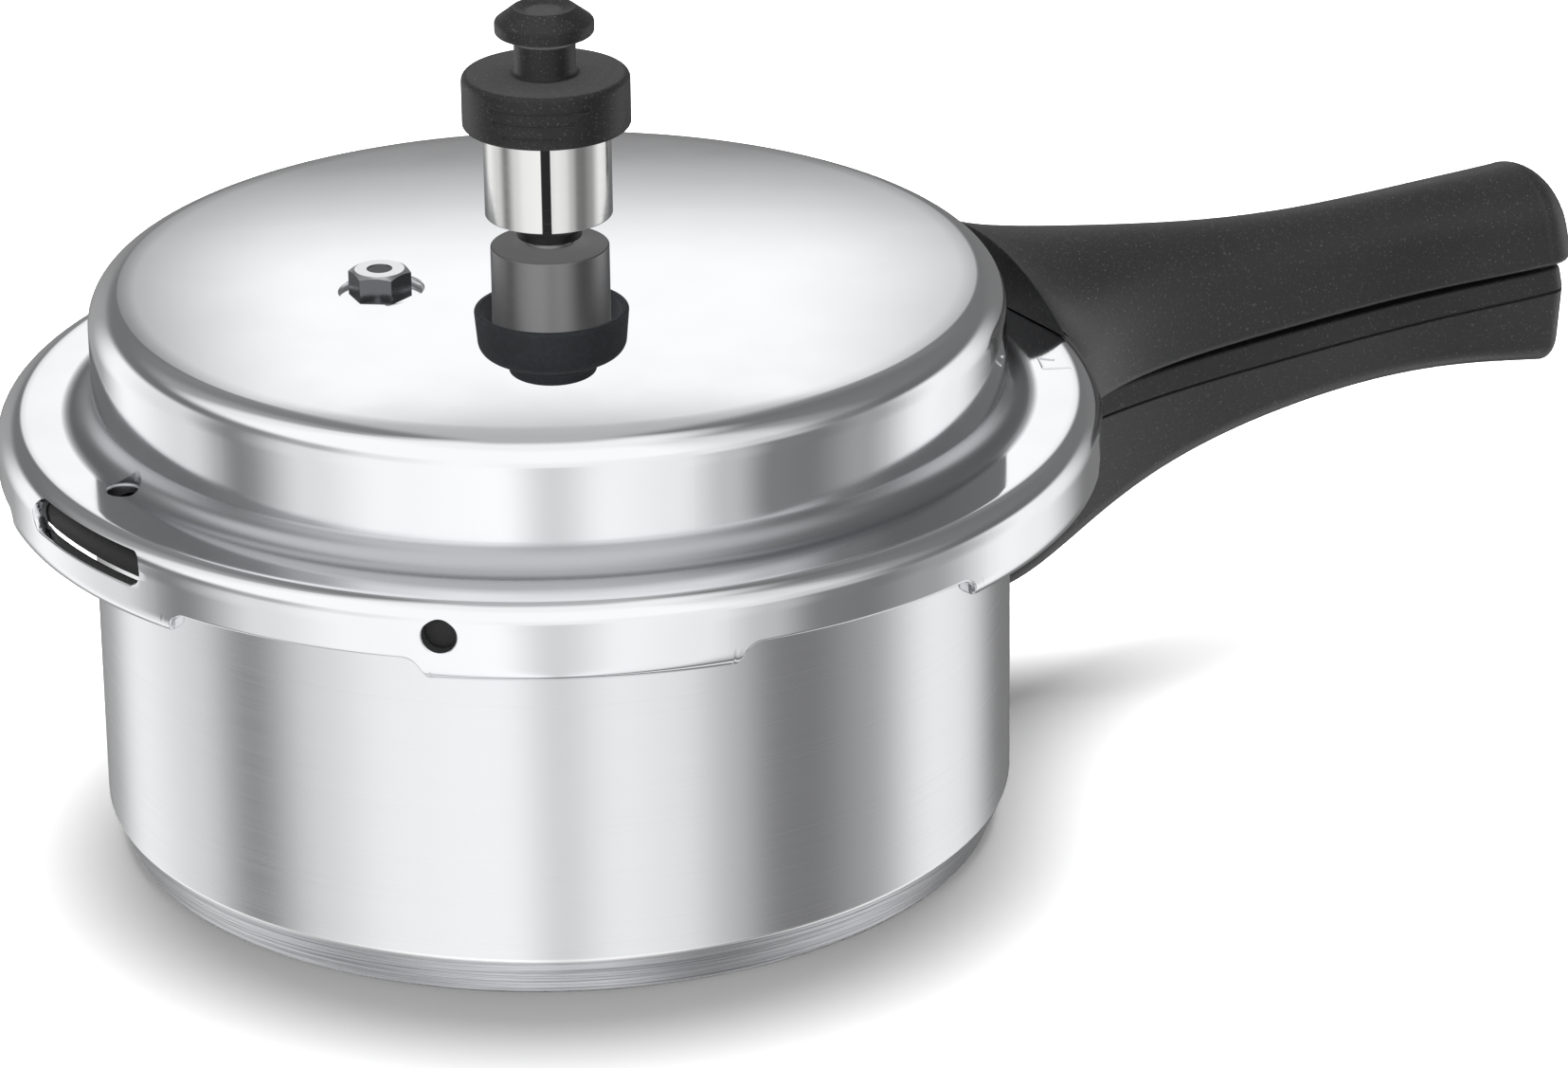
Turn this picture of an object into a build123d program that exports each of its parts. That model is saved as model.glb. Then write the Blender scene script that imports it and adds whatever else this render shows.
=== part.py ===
from build123d import *
import os
from math import cos, degrees, hypot, radians, sin, sqrt

# A stovetop pressure cooker with an outer lid. Lengths are millimetres and angles degrees.
# The origin is the middle of the base's underside, +Z is up and +X runs out along the handles.
# Angles round the pot turn anticlockwise from +X, seen from above.

# Pot
pot_radius = 90.0
pot_wall = 3.0
pot_floor = 4.0
pot_height = 83.3
floor_corner = 3.0
base_band_height = 8.5
base_band_inset = 3.7
base_edge_round = 1.0
band_edge_round = 0.6
rim_width = 10.2
rim_thickness = 2.2
rim_fillet = 4.0
rim_edge_round = 0.8
mouth_round = 1.6

# Bayonet: lugs under the pot's rim turn over hooks under the lid's skirt
lug_count = 6
first_lug_angle = 2.2
pot_lug_angle = 24.0
pot_lug_reach = 3.6
pot_lug_lip = 2.4
pot_lug_drop = 5.1
pot_lug_corner = 1.8
lug_side_play = 1.6
hook_side_play = 1.0
hook_play = 0.4

# Lid
lid_wall = 2.6
lid_lug_angle = 30.5
lid_lug_lean = 2.5
lid_lug_inner_round = 4.0
lid_lug_outer_round = 0.8
hook_round = 3.4
skirt_depth = 10.6
flange_edge_round = 5.0
dome_step = 0.7
dome_foot_round = 5.0
dome_height = 27.7
crown_rise = 3.5
shoulder_round = 6.6

# Safety openings in the lid
release_angle = 184.0
release_length = 38.0
release_height = 6.5
release_corner = 3.2
release_sill = 2.8
sight_hole_angle = -131.8
sight_hole_radius = 3.25
sight_hole_rise = 4.7
flange_hole_angle = 179.2
flange_hole_inset = 14.8
flange_hole_radius = 3.0

# Gasket
gasket_thickness = 2.2
gasket_gap = 0.2
gasket_side_play = 0.3
gasket_overlap = 1.5
gasket_lip_depth = 2.4
gasket_lip_play = 0.4
gasket_tab_width = 12.0
gasket_tab_gap = 0.3

# Handles: each upper station is (share of the length from the root, half width,
# crest above the flange, drop from crest to shoulder)
handle_drop = 5.0
handle_gap = 1.5
handle_fit = 0.25
lid_handle_setback = 9.9
lid_handle_stations = [
    (0.0, 36.0, 13.5, 13.5),
    (0.088, 26.0, 9.9, 19.4),
    (0.21, 18.4, 6.6, 15.4),
    (0.38, 14.4, 2.5, 12.0),
    (0.615, 12.7, -0.6, 10.4),
    (0.85, 14.2, -1.3, 11.2),
]
lid_handle_length = 148.0
lid_handle_end_half_width = 15.2
lid_handle_end_crest = -1.5
lid_handle_end_shoulder = 11.6
lid_handle_flank = 1.7
lid_handle_edge_round = 1.2
lid_handle_end_round = 8.5
lid_handle_plan_round = 6.0
lid_handle_toe_round = 3.5

# Each lower station is (share of the length from the pot wall, half width, depth below the top)
pot_handle_stations = [
    (0.0, 22.0, 37.5),
    (0.135, 20.0, 32.5),
    (0.257, 16.2, 26.2),
    (0.418, 13.6, 20.4),
    (0.643, 12.2, 17.4),
    (0.868, 13.0, 19.4),
]
pot_handle_length = 155.5
pot_handle_end_half_width = 13.6
pot_handle_end_depth = 22.0
pot_handle_top_lean = 1.2
pot_handle_bottom_lean = 1.6
pot_handle_top_round = 1.0
pot_handle_bottom_round = 4.5
pot_handle_end_round = 4.5
pot_handle_plan_round = 4.5
pot_handle_nose_round = 2.5
seam_depth = 5.0
seam_width = 0.6
seam_groove = 0.6

# Handle brackets, rivets and screws
bracket_plate = 2.5
bracket_height = 26.0
bracket_top_gap = 5.0
bracket_margin = 0.8
bracket_tongue_width = 14.0
bracket_tongue_thickness = 5.0
bracket_tongue_length = 58.0
bracket_tongue_rise = 6.5
bracket_fit = 0.3
strap_width = 18.0
strap_thickness = 3.0
strap_length = 64.0
strap_skirt_gap = 1.0
strap_drop = 9.8
rivet_radius = 2.0
rivet_head_radius = 3.6
rivet_head_height = 1.8
lid_rivet_side = 5.0
lid_rivet_inset = 4.2
screw_radius = 2.0
screw_head_radius = 3.8
screw_head_height = 2.6
screw_head_round = 1.3
screw_slot_width = 1.0
screw_slot_depth = 1.0
screw_fit = 0.15
screw_head_fit = 0.4
screw_first = 28.0
screw_pitch = 24.0
pot_screw_seat_gap = 4.0
lid_screw_seat_rise = 4.0

# Vent
vent_offset = 55.0
vent_angle = -119.7
vent_stud_radius = 4.0
vent_bore = 1.4
vent_fit = 0.15
vent_seat_radius = 9.0
vent_seat_proud = 0.2
vent_radius = 11.05
vent_top_rise = 24.2
vent_cone_rise = 1.8
vent_neck_radius = 4.2
vent_ring_count = 2
vent_ring_radius = 5.7
vent_ring_width = 1.0
vent_ring_pitch = 1.9
vent_nozzle_rise = 33.0
vent_tip_radius = 2.4
vent_tip_taper = 1.6
vent_edge_round = 0.5
vent_cone_round = 0.3
vent_neck_round = 0.6
vent_ring_round = 0.3
cup_foot_radius = 8.0
cup_foot_rise = 2.4
cup_radius = 14.5
cup_rise = 11.4
cup_floor_rise = 4.5
cup_wall = 1.5
cup_corner = 3.0
cup_lean = 0.8
cup_foot_round = 0.5
cup_neck_round = 0.8
cup_lip_round = 0.6

# Nuts and washers under the lid
washer_radius = 8.0
washer_thickness = 1.0
nut_flat_radius = 6.5
nut_height = 4.5
stud_overhang = 1.5

# Safety plug
plug_offset = 35.0
plug_angle = 173.0
plug_recess_radius = 8.1
plug_recess_depth = 0.8
plug_flat_radius = 5.3
plug_height = 5.4
plug_chamfer = 0.9
plug_stud_radius = 4.0
plug_alloy_radius = 2.5
plug_alloy_dish = 0.4

# Weight
sleeve_radius = 11.85
sleeve_wall = 1.3
sleeve_foot_rise = 29.4
sleeve_length = 21.6
sleeve_slit = 1.8
slit_angle = -122.5
core_fit = 0.1
core_seat_depth = 1.2
core_stud_radius = 3.0
core_stud_length = 9.0
core_edge_round = 0.4
collar_radius = 15.6
collar_foot_rise = 47.0
collar_height = 12.3
collar_top_round = 3.0
collar_foot_round = 0.6
stem_radius = 5.7
stem_fillet = 1.2
neck_fillet = 0.8
knob_radius = 9.2
knob_foot_rise = 64.4
knob_lower_round = 2.6
knob_edge_height = 1.5
knob_edge_round = 0.8
knob_dish_round = 0.4
knob_top_rise = 70.8
knob_dish_radius = 5.8
knob_dish_depth = 1.1

# Sizes that follow from the ones above
rim_radius = pot_radius + rim_width
rim_underside = pot_height - rim_thickness
pot_lug_radius = rim_radius + pot_lug_reach
pot_lug_foot = rim_underside - pot_lug_drop
skirt_inner = pot_lug_radius + lug_side_play
skirt_radius = skirt_inner + lid_wall
hook_radius = rim_radius + hook_side_play
hook_top = pot_lug_foot - hook_play
lid_lug_foot = hook_top - lid_wall
flange_under = pot_height + gasket_gap + gasket_thickness
flange_top = flange_under + lid_wall
skirt_edge = flange_top - skirt_depth
flange_hole_offset = skirt_radius - flange_hole_inset
gasket_corner = flange_edge_round - lid_wall
dome_radius = pot_radius - dome_step
crown_top = flange_top + dome_height
shoulder_r = dome_radius - shoulder_round
shoulder_z = crown_top - crown_rise - shoulder_round
crown_drop = crown_rise + shoulder_round
crown_radius = (shoulder_r**2 + crown_drop**2 - shoulder_round**2) / (2 * crown_rise)
crown_z = crown_top - crown_radius
lug_pitch = 360 / lug_count
release_middle = skirt_edge + release_sill + release_height / 2
parting = lid_lug_foot - handle_drop
pot_handle_top = parting - handle_gap
lid_handle_root = dome_radius + lid_handle_setback
strap_tongue_top = flange_top - strap_drop
bracket_middle = pot_handle_top - bracket_top_gap - bracket_height / 2
tongue_middle = bracket_middle + bracket_tongue_rise
pot_rivet_side = bracket_tongue_width / 2 + rivet_head_radius + bracket_margin
pot_rivet_rise = bracket_height / 2 - rivet_head_radius - bracket_margin
bracket_half_width = pot_rivet_side + rivet_head_radius + bracket_margin
pot_screw_seat = tongue_middle - bracket_tongue_thickness / 2 - pot_screw_seat_gap
pot_screw_top = tongue_middle + bracket_tongue_thickness / 2
lid_screw_seat = parting + lid_screw_seat_rise
through = 4 * max(lid_wall, pot_wall, bracket_tongue_thickness)


def crown_height(offset):
    """Height of the lid's outer face at a distance from the axis, on the crown."""
    return crown_z + sqrt(crown_radius**2 - offset**2)


vent_x = vent_offset * cos(radians(vent_angle))
vent_y = vent_offset * sin(radians(vent_angle))
vent_seat = crown_height(vent_offset - vent_seat_radius) + vent_seat_proud
vent_under = crown_height(vent_offset + vent_seat_radius) - lid_wall - vent_seat_proud
plug_x = plug_offset * cos(radians(plug_angle))
plug_y = plug_offset * sin(radians(plug_angle))
plug_seat = crown_height(plug_offset + plug_recess_radius) - plug_recess_depth
plug_under = plug_seat - lid_wall
plug_stud_foot = plug_under - washer_thickness - nut_height - stud_overhang


def rounded_path(corners):
    """Edges through open corners (x, y, round), with the round taken at each inner corner."""
    points = [Vector(x, y) for x, y, _ in corners]
    edges = []
    start = points[0]
    for before, here, after, (_, _, size) in zip(points, points[1:], points[2:], corners[1:]):
        back = (before - here).normalized()
        ahead = (after - here).normalized()
        half = radians(back.get_angle(ahead)) / 2
        if size > 0:
            run = size * cos(half) / sin(half)
            centre = here + (back + ahead).normalized() * (size / sin(half))
            middle = centre + (here - centre).normalized() * size
            edges.append(Line(start, here + back * run))
            edges.append(ThreePointArc(here + back * run, middle, here + ahead * run))
            start = here + ahead * run
        else:
            edges.append(Line(start, here))
            start = here
    edges.append(Line(start, points[-1]))
    return edges


def rounded_face(corners):
    """Closed face through corners (x, y, round). The first corner stays sharp."""
    first = (corners[0][0], corners[0][1], 0)
    return make_face(rounded_path([first, *corners[1:], first]))


def turned(corners):
    """Solid turned about Z from an outline of (radius, height, round)."""
    return revolve(Plane.XZ * rounded_face(corners), Axis.Z)


def sector(inner, outer, angle, corner):
    """Flat ring sector centred on +X, with its outer corners rounded."""
    half = angle / 2
    low = (cos(radians(half)), -sin(radians(half)))
    high = (low[0], -low[1])
    edges = [
        Line((inner * low[0], inner * low[1]), (outer * low[0], outer * low[1])),
        CenterArc((0, 0), outer, -half, angle),
        Line((outer * high[0], outer * high[1]), (inner * high[0], inner * high[1])),
        CenterArc((0, 0), inner, -half, angle),
    ]
    face = make_face(edges)
    if corner == 0:
        return face
    middle = (inner + outer) / 2
    tips = face.vertices().filter_by(lambda tip: hypot(tip.X, tip.Y) > middle)
    return fillet(tips, corner)


def column(face, low, high):
    """Flat face raised between two heights."""
    return extrude(Pos(0, 0, low) * face, high - low)


def drum(radius, low, high):
    """Upright cylinder between two heights."""
    return column(Circle(radius), low, high)


def at_vent(shape):
    return Pos(vent_x, vent_y, 0) * shape


def at_plug(shape):
    return Pos(plug_x, plug_y, 0) * shape


def lid_curve(inset):
    """Edges of the lid's section from the crown to the hook, at a depth below the outer face."""
    lean = Vector(shoulder_r, shoulder_z - crown_z).normalized()
    top = Vector(0, crown_top - inset)
    crown_mid = Vector(0, crown_z) + (lean + Vector(0, 1)).normalized() * (crown_radius - inset)
    join = Vector(shoulder_r, shoulder_z) + lean * (shoulder_round - inset)
    turn = (lean + Vector(1, 0)).normalized() * (shoulder_round - inset)
    wall_top = Vector(dome_radius - inset, shoulder_z)
    wall_foot = Vector(dome_radius - inset, flange_top + dome_foot_round)
    foot = dome_foot_round + inset
    flange_start = Vector(dome_radius + dome_foot_round, flange_top - inset)
    flange_end = Vector(skirt_radius - flange_edge_round, flange_top - inset)
    edge = flange_edge_round - inset
    skirt_top = Vector(skirt_radius - inset, flange_top - flange_edge_round)
    skirt_foot = Vector(skirt_radius - inset, lid_lug_foot + hook_round)
    bend = hook_round - inset
    hook_start = Vector(skirt_radius - hook_round, lid_lug_foot + inset)
    hook_end = Vector(hook_radius, lid_lug_foot + inset)
    slant = sqrt(0.5)
    return [
        ThreePointArc(top, crown_mid, join),
        ThreePointArc(join, Vector(shoulder_r, shoulder_z) + turn, wall_top),
        Line(wall_top, wall_foot),
        ThreePointArc(
            wall_foot,
            Vector(flange_start.X, wall_foot.Y) - Vector(foot * slant, foot * slant),
            flange_start,
        ),
        Line(flange_start, flange_end),
        ThreePointArc(
            flange_end,
            Vector(flange_end.X, skirt_top.Y) + Vector(edge * slant, edge * slant),
            skirt_top,
        ),
        Line(skirt_top, skirt_foot),
        ThreePointArc(
            skirt_foot,
            Vector(hook_start.X, skirt_foot.Y) + Vector(bend * slant, -bend * slant),
            hook_start,
        ),
        Line(hook_start, hook_end),
    ]


def release_window():
    """Prism of the gasket release slot through the skirt."""
    face = RectangleRounded(release_length, release_height, release_corner)
    prism = extrude(Plane.YZ.offset(skirt_inner - lid_wall) * Pos(0, release_middle) * face, through)
    return Rot(0, 0, release_angle) * prism


def make_pot_body():
    """Pot with its rim lugs. The lug behind the release slot has no lip, so the gasket can push out."""
    inner = pot_radius - pot_wall
    pot = turned(
        [
            (0, 0, 0),
            (pot_radius - base_band_inset, 0, base_edge_round),
            (pot_radius, base_band_height, band_edge_round),
            (pot_radius, rim_underside, rim_fillet),
            (rim_radius, rim_underside, rim_edge_round),
            (rim_radius, pot_height, rim_edge_round),
            (inner, pot_height, mouth_round),
            (inner, pot_floor, floor_corner),
            (0, pot_floor, 0),
        ]
    )
    root = rim_radius - rim_fillet
    shelf = column(sector(root, pot_lug_radius, pot_lug_angle, pot_lug_corner), rim_underside, pot_height)
    lip_inner = pot_lug_radius - pot_lug_lip
    lip = column(sector(lip_inner, pot_lug_radius, pot_lug_angle, 0), pot_lug_foot, pot_height)
    lug = shelf + (lip & column(sector(root, pot_lug_radius, pot_lug_angle, pot_lug_corner), 0, pot_height))
    release_lug = round((release_angle - first_lug_angle) / lug_pitch)
    for index in range(lug_count):
        shape = shelf if index == release_lug else lug
        pot += Rot(0, 0, first_lug_angle + index * lug_pitch) * shape
    for shank in pot_rivet_axes():
        pot -= shank * Cylinder(rivet_radius + bracket_fit, through)
    return pot


def pot_rivet_axes():
    """Places of the pot's rivets on the wall, each with its Z pointing out from the pot's axis."""
    turn = pot_rivet_side / pot_radius
    places = []
    for side in (-1, 1):
        for rise in (-1, 1):
            out = Vector(cos(turn), side * sin(turn))
            spot = out * pot_radius + Vector(0, 0, bracket_middle + rise * pot_rivet_rise)
            places.append(Plane(origin=spot, z_dir=out).location)
    return places


def pot_bracket_shape(spare):
    """Curved plate against the pot wall and the tongue that enters the lower handle."""
    angle = degrees(2 * (bracket_half_width + spare) / pot_radius)
    half = bracket_height / 2 + spare
    outer = pot_radius + bracket_plate + spare
    plate = column(sector(pot_radius, outer, angle, 0), bracket_middle - half, bracket_middle + half)
    tongue = Pos(pot_radius + bracket_plate / 2, 0, tongue_middle) * Box(
        bracket_tongue_length + spare,
        bracket_tongue_width + 2 * spare,
        bracket_tongue_thickness + 2 * spare,
        align=(Align.MIN, Align.CENTER, Align.CENTER),
    )
    return plate + tongue


def make_pot_bracket():
    bracket = pot_bracket_shape(0)
    for shank in pot_rivet_axes():
        bracket -= shank * Cylinder(rivet_radius + bracket_fit, through)
    for x in screw_places(pot_radius):
        bracket -= Pos(x, 0, tongue_middle) * Cylinder(screw_radius + screw_fit, through)
    return bracket


def screw_places(root):
    return [root + screw_first, root + screw_first + screw_pitch]


def rivet(grip):
    """Rivet with a domed head above Z=0 and a shank below it, as long as the grip."""
    sphere = (rivet_head_radius**2 + rivet_head_height**2) / (2 * rivet_head_height)
    dome = Pos(0, 0, rivet_head_height - sphere) * Sphere(sphere)
    head = dome & drum(rivet_head_radius, 0, rivet_head_height)
    return head + drum(rivet_radius, -grip, rivet_head_height / 2)


def make_pot_rivets():
    lift = bracket_plate + rivet_head_radius**2 / (2 * pot_radius)
    inner_lift = pot_wall + rivet_head_radius**2 / (2 * (pot_radius - pot_wall))
    pieces = []
    for place in pot_rivet_axes():
        outer = rivet(lift + inner_lift)
        inner = Rot(180, 0, 0) * rivet(0)
        pieces.append(place * (Pos(0, 0, lift) * outer + Pos(0, 0, -inner_lift) * inner))
    return Compound(children=[piece.solid() for piece in pieces])


def pot_handle_section(x, half, bottom, top):
    """Section of the lower handle, with its seam groove."""
    seam = pot_handle_top - seam_depth
    upper = seam + seam_width / 2
    lower = seam - seam_width / 2
    groove = half - seam_groove
    right = [
        (half - pot_handle_bottom_lean, bottom, pot_handle_bottom_round),
        (half, lower, 0),
        (groove, lower, 0),
        (groove, upper, 0),
        (half, upper, 0),
        (half - pot_handle_top_lean, top, pot_handle_top_round),
    ]
    left = [(-y, z, size) for y, z, size in reversed(right)]
    start = (0, bottom, 0)
    return Plane.YZ.offset(x) * rounded_face([start, *right, *left])


def rounding(run, radius):
    """How far a quarter round of a radius has come in, at a run before its end."""
    if run >= radius:
        return 0
    return radius - sqrt(radius**2 - (radius - run) ** 2)


def end_runs(radius):
    """Runs before a handle's end where its end rounding gets a section."""
    return [radius * (1 - sin(radians(angle))) for angle in (0, 30, 52, 68)]


def make_pot_handle():
    body = [
        pot_handle_section(
            pot_radius + share * pot_handle_length, half, pot_handle_top - depth, pot_handle_top
        )
        for share, half, depth in pot_handle_stations
    ]
    end = []
    for run in end_runs(pot_handle_end_round):
        half = pot_handle_end_half_width - rounding(run, pot_handle_plan_round)
        bottom = pot_handle_top - pot_handle_end_depth + rounding(run, pot_handle_end_round)
        top = pot_handle_top - rounding(run, pot_handle_nose_round)
        end.append(pot_handle_section(pot_radius + pot_handle_length - run, half, bottom, top))
    handle = loft([*body, end[0]]) + loft(end)
    handle -= drum(pot_radius + bracket_fit, 0, pot_height)
    handle -= pot_bracket_shape(bracket_fit)
    head_room = pot_radius + bracket_plate + rivet_head_height + 2 * bracket_fit
    for place in pot_rivet_axes():
        handle -= place * drum(rivet_head_radius + bracket_fit, 0, head_room - pot_radius)
    for x in screw_places(pot_radius):
        handle -= Pos(x, 0, 0) * drum(screw_head_radius + screw_head_fit, 0, pot_screw_seat)
        handle -= Pos(x, 0, 0) * drum(screw_radius + screw_fit, 0, pot_screw_top + bracket_fit)
    return handle


def screw(seat, top):
    """Cross-slotted pan-head screw put in from below, with its head under the seat."""
    foot = seat - screw_head_height
    head = turned(
        [
            (0, foot, 0),
            (screw_head_radius, foot, screw_head_round),
            (screw_head_radius, seat, 0),
            (screw_radius, seat, 0),
            (screw_radius, top, 0),
            (0, top, 0),
        ]
    )
    slot = Pos(0, 0, foot) * Box(screw_head_radius, screw_slot_width, 2 * screw_slot_depth)
    return head - slot - Rot(0, 0, 90) * slot


def screws(root, seat, top):
    return Compound(children=[(Pos(x, 0, 0) * screw(seat, top)).solid() for x in screw_places(root)])


def make_lid_shell():
    outer = lid_curve(0)
    inner = lid_curve(lid_wall)
    ends = [
        Line((0, crown_top), (0, crown_top - lid_wall)),
        Line((hook_radius, lid_lug_foot), (hook_radius, hook_top)),
    ]
    lid = revolve(Plane.XZ * make_face([*outer, *inner, *ends]), Axis.Z)
    gap = skirt_radius * sin(radians((lug_pitch - lid_lug_angle) / 2))
    wide = gap + lid_lug_outer_round + lid_lug_lean
    below = lid_lug_foot - lid_wall
    outline = rounded_face(
        [
            (0, below, 0),
            (wide, below, 0),
            (wide, lid_lug_foot, 0),
            (gap, lid_lug_foot, lid_lug_outer_round),
            (gap - lid_lug_lean, skirt_edge, lid_lug_inner_round),
            (-gap + lid_lug_lean, skirt_edge, lid_lug_inner_round),
            (-gap, lid_lug_foot, lid_lug_outer_round),
            (-wide, lid_lug_foot, 0),
            (-wide, below, 0),
        ]
    )
    reach = hook_radius * cos(radians(lug_pitch / 2)) - lid_wall
    cutter = extrude(Plane.YZ.offset(reach) * outline, skirt_radius + lid_wall - reach)
    for index in range(lug_count):
        lid -= Rot(0, 0, first_lug_angle + (index + 0.5) * lug_pitch) * cutter
    lid -= release_window()
    sight = Pos(skirt_radius, 0, skirt_edge + sight_hole_rise) * Rot(0, 90, 0)
    lid -= Rot(0, 0, sight_hole_angle) * sight * Cylinder(sight_hole_radius, through)
    lid -= Rot(0, 0, flange_hole_angle) * Pos(flange_hole_offset, 0, flange_top) * Cylinder(
        flange_hole_radius, through
    )
    lid += at_vent(drum(vent_seat_radius, vent_under, vent_seat))
    lid -= at_vent(drum(vent_stud_radius + vent_fit, vent_under, vent_seat))
    lid += at_plug(drum(plug_recess_radius + lid_wall, plug_under, plug_seat))
    lid -= at_plug(drum(plug_recess_radius, plug_seat, crown_top))
    lid -= at_plug(drum(plug_stud_radius + vent_fit, plug_under, plug_seat))
    for x, y in lid_rivet_places():
        lid -= Pos(x, y, flange_top) * Cylinder(rivet_radius + bracket_fit, through)
    return lid


def make_gasket():
    """Flat ring with a lip round the pot's lugs and a tab behind the sight hole."""
    inner = pot_radius - pot_wall + gasket_overlap
    outer = skirt_inner - gasket_side_play
    low = pot_height + gasket_gap
    lip_inner = pot_lug_radius + gasket_lip_play
    lip_foot = low - gasket_lip_depth
    ring = turned(
        [
            (inner, low, 0),
            (lip_inner, low, 0),
            (lip_inner, lip_foot, 0),
            (outer, lip_foot, 0),
            (outer, flange_under, gasket_corner),
            (inner, flange_under, 0),
        ]
    )
    tab_angle = degrees(gasket_tab_width / outer)
    tab = column(sector(lip_inner, outer, tab_angle, 0), skirt_edge + gasket_tab_gap, lip_foot)
    return ring + Rot(0, 0, sight_hole_angle) * tab


def lid_handle_section(x, half, low, crest, shoulder):
    """Section of the upper handle: flat below, leaning flanks and an arched top."""
    waist = half - lid_handle_flank
    sides = rounded_path(
        [
            (-waist, shoulder, 0),
            (-half, low, lid_handle_edge_round),
            (half, low, lid_handle_edge_round),
            (waist, shoulder, 0),
        ]
    )
    top = ThreePointArc((waist, shoulder), (0, crest), (-waist, shoulder))
    return Plane.YZ.offset(x) * make_face([*sides, top])


def lid_envelope(gap):
    """The room that the lid takes up, with a gap round it, down to below the lower handle."""
    curve = lid_curve(-gap)[:7]
    foot = curve[-1] @ 1
    crown = curve[0] @ 0
    rest = Polyline(foot, (foot.X, 0), (0, 0), crown)
    return revolve(Plane.XZ * make_face([*curve, rest]), Axis.Z)


def lid_rivet_places():
    x = lid_handle_root + lid_rivet_inset
    return [(x, -lid_rivet_side), (x, lid_rivet_side)]


def lid_strap_shape(spare):
    """Strap that lies on the flange, steps down outside the skirt and runs on into the upper handle."""
    half = strap_width / 2 + spare
    near = skirt_radius + strap_skirt_gap - spare
    far = skirt_radius + strap_skirt_gap + strap_thickness + spare
    start = lid_handle_root + bracket_fit - spare
    end = lid_handle_root + strap_length + spare
    top = flange_top + strap_thickness + spare
    tongue_foot = strap_tongue_top - strap_thickness - spare
    face = make_face(
        Polyline(
            (start, flange_top),
            (near, flange_top),
            (near, tongue_foot),
            (end, tongue_foot),
            (end, strap_tongue_top + spare),
            (far, strap_tongue_top + spare),
            (far, top),
            (start, top),
            close=True,
        )
    )
    return extrude(Plane.XZ * face, half, both=True)


def make_lid_handle():
    body = [
        lid_handle_section(
            lid_handle_root + share * lid_handle_length,
            half,
            parting,
            flange_top + crest,
            flange_top + crest - drop,
        )
        for share, half, crest, drop in lid_handle_stations
    ]
    crest = flange_top + lid_handle_end_crest
    end = []
    for run in end_runs(lid_handle_end_round):
        half = lid_handle_end_half_width - rounding(run, lid_handle_plan_round)
        low = parting + rounding(run, lid_handle_toe_round)
        top = crest - rounding(run, lid_handle_end_round)
        left = (top - low) / (crest - parting)
        shoulder = top - lid_handle_end_shoulder * left
        end.append(lid_handle_section(lid_handle_root + lid_handle_length - run, half, low, top, shoulder))
    handle = loft([*body, end[0]]) + loft(end)
    handle -= lid_envelope(handle_fit)
    handle -= lid_strap_shape(bracket_fit)
    head_top = flange_top + strap_thickness + rivet_head_height + 2 * bracket_fit
    for x, y in lid_rivet_places():
        handle -= Pos(x, y, 0) * drum(rivet_head_radius + bracket_fit, flange_under, head_top)
    for x in screw_places(lid_handle_root):
        handle -= Pos(x, 0, 0) * drum(screw_head_radius + screw_head_fit, 0, lid_screw_seat)
        handle -= Pos(x, 0, 0) * drum(screw_radius + screw_fit, 0, strap_tongue_top + bracket_fit)
    return handle


def make_lid_bracket():
    strap = lid_strap_shape(0)
    for x, y in lid_rivet_places():
        strap -= Pos(x, y, flange_top) * Cylinder(rivet_radius + bracket_fit, through)
    for x in screw_places(lid_handle_root):
        strap -= Pos(x, 0, strap_tongue_top) * Cylinder(screw_radius + screw_fit, through)
    return strap


def make_lid_rivets():
    lift = flange_top + strap_thickness
    pieces = [Pos(x, y, lift) * rivet(lift - flange_under) for x, y in lid_rivet_places()]
    return Compound(children=[piece.solid() for piece in pieces])


def make_vent_body():
    cylinder_foot = vent_seat + cup_floor_rise
    shoulder = vent_seat + vent_top_rise
    neck = shoulder + vent_cone_rise
    tip = vent_seat + vent_nozzle_rise
    stud = vent_under - washer_thickness - nut_height - stud_overhang
    body = turned(
        [
            (vent_bore, stud, 0),
            (vent_stud_radius, stud, vent_edge_round),
            (vent_stud_radius, cylinder_foot, 0),
            (vent_radius, cylinder_foot, vent_edge_round),
            (vent_radius, shoulder, vent_cone_round),
            (vent_neck_radius, neck, vent_neck_round),
            (vent_neck_radius, tip - vent_tip_taper, 0),
            (vent_tip_radius, tip, 0),
            (vent_bore, tip, 0),
        ]
    )
    for index in range(vent_ring_count):
        low = neck + index * vent_ring_pitch + vent_ring_width / 2
        ring_root = (vent_bore + vent_neck_radius) / 2
        body += turned(
            [
                (ring_root, low, 0),
                (vent_ring_radius, low, vent_ring_round),
                (vent_ring_radius, low + vent_ring_width, vent_ring_round),
                (ring_root, low + vent_ring_width, 0),
            ]
        )
    return at_vent(body)


def make_vent_cup():
    base = vent_seat
    hole = vent_stud_radius + vent_fit
    cup = turned(
        [
            (hole, base, 0),
            (cup_foot_radius, base, cup_foot_round),
            (cup_foot_radius, base + cup_foot_rise, cup_neck_round),
            (cup_radius - cup_lean, base + cup_foot_rise, cup_corner),
            (cup_radius, base + cup_rise, cup_lip_round),
            (cup_radius - cup_wall, base + cup_rise, cup_lip_round),
            (cup_radius - cup_lean - cup_wall, base + cup_floor_rise, cup_corner - cup_wall),
            (hole, base + cup_floor_rise, 0),
        ]
    )
    return at_vent(cup)


def washer(hole, top):
    return drum(washer_radius, top - washer_thickness, top) - drum(hole, top - through, top + through)


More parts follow.
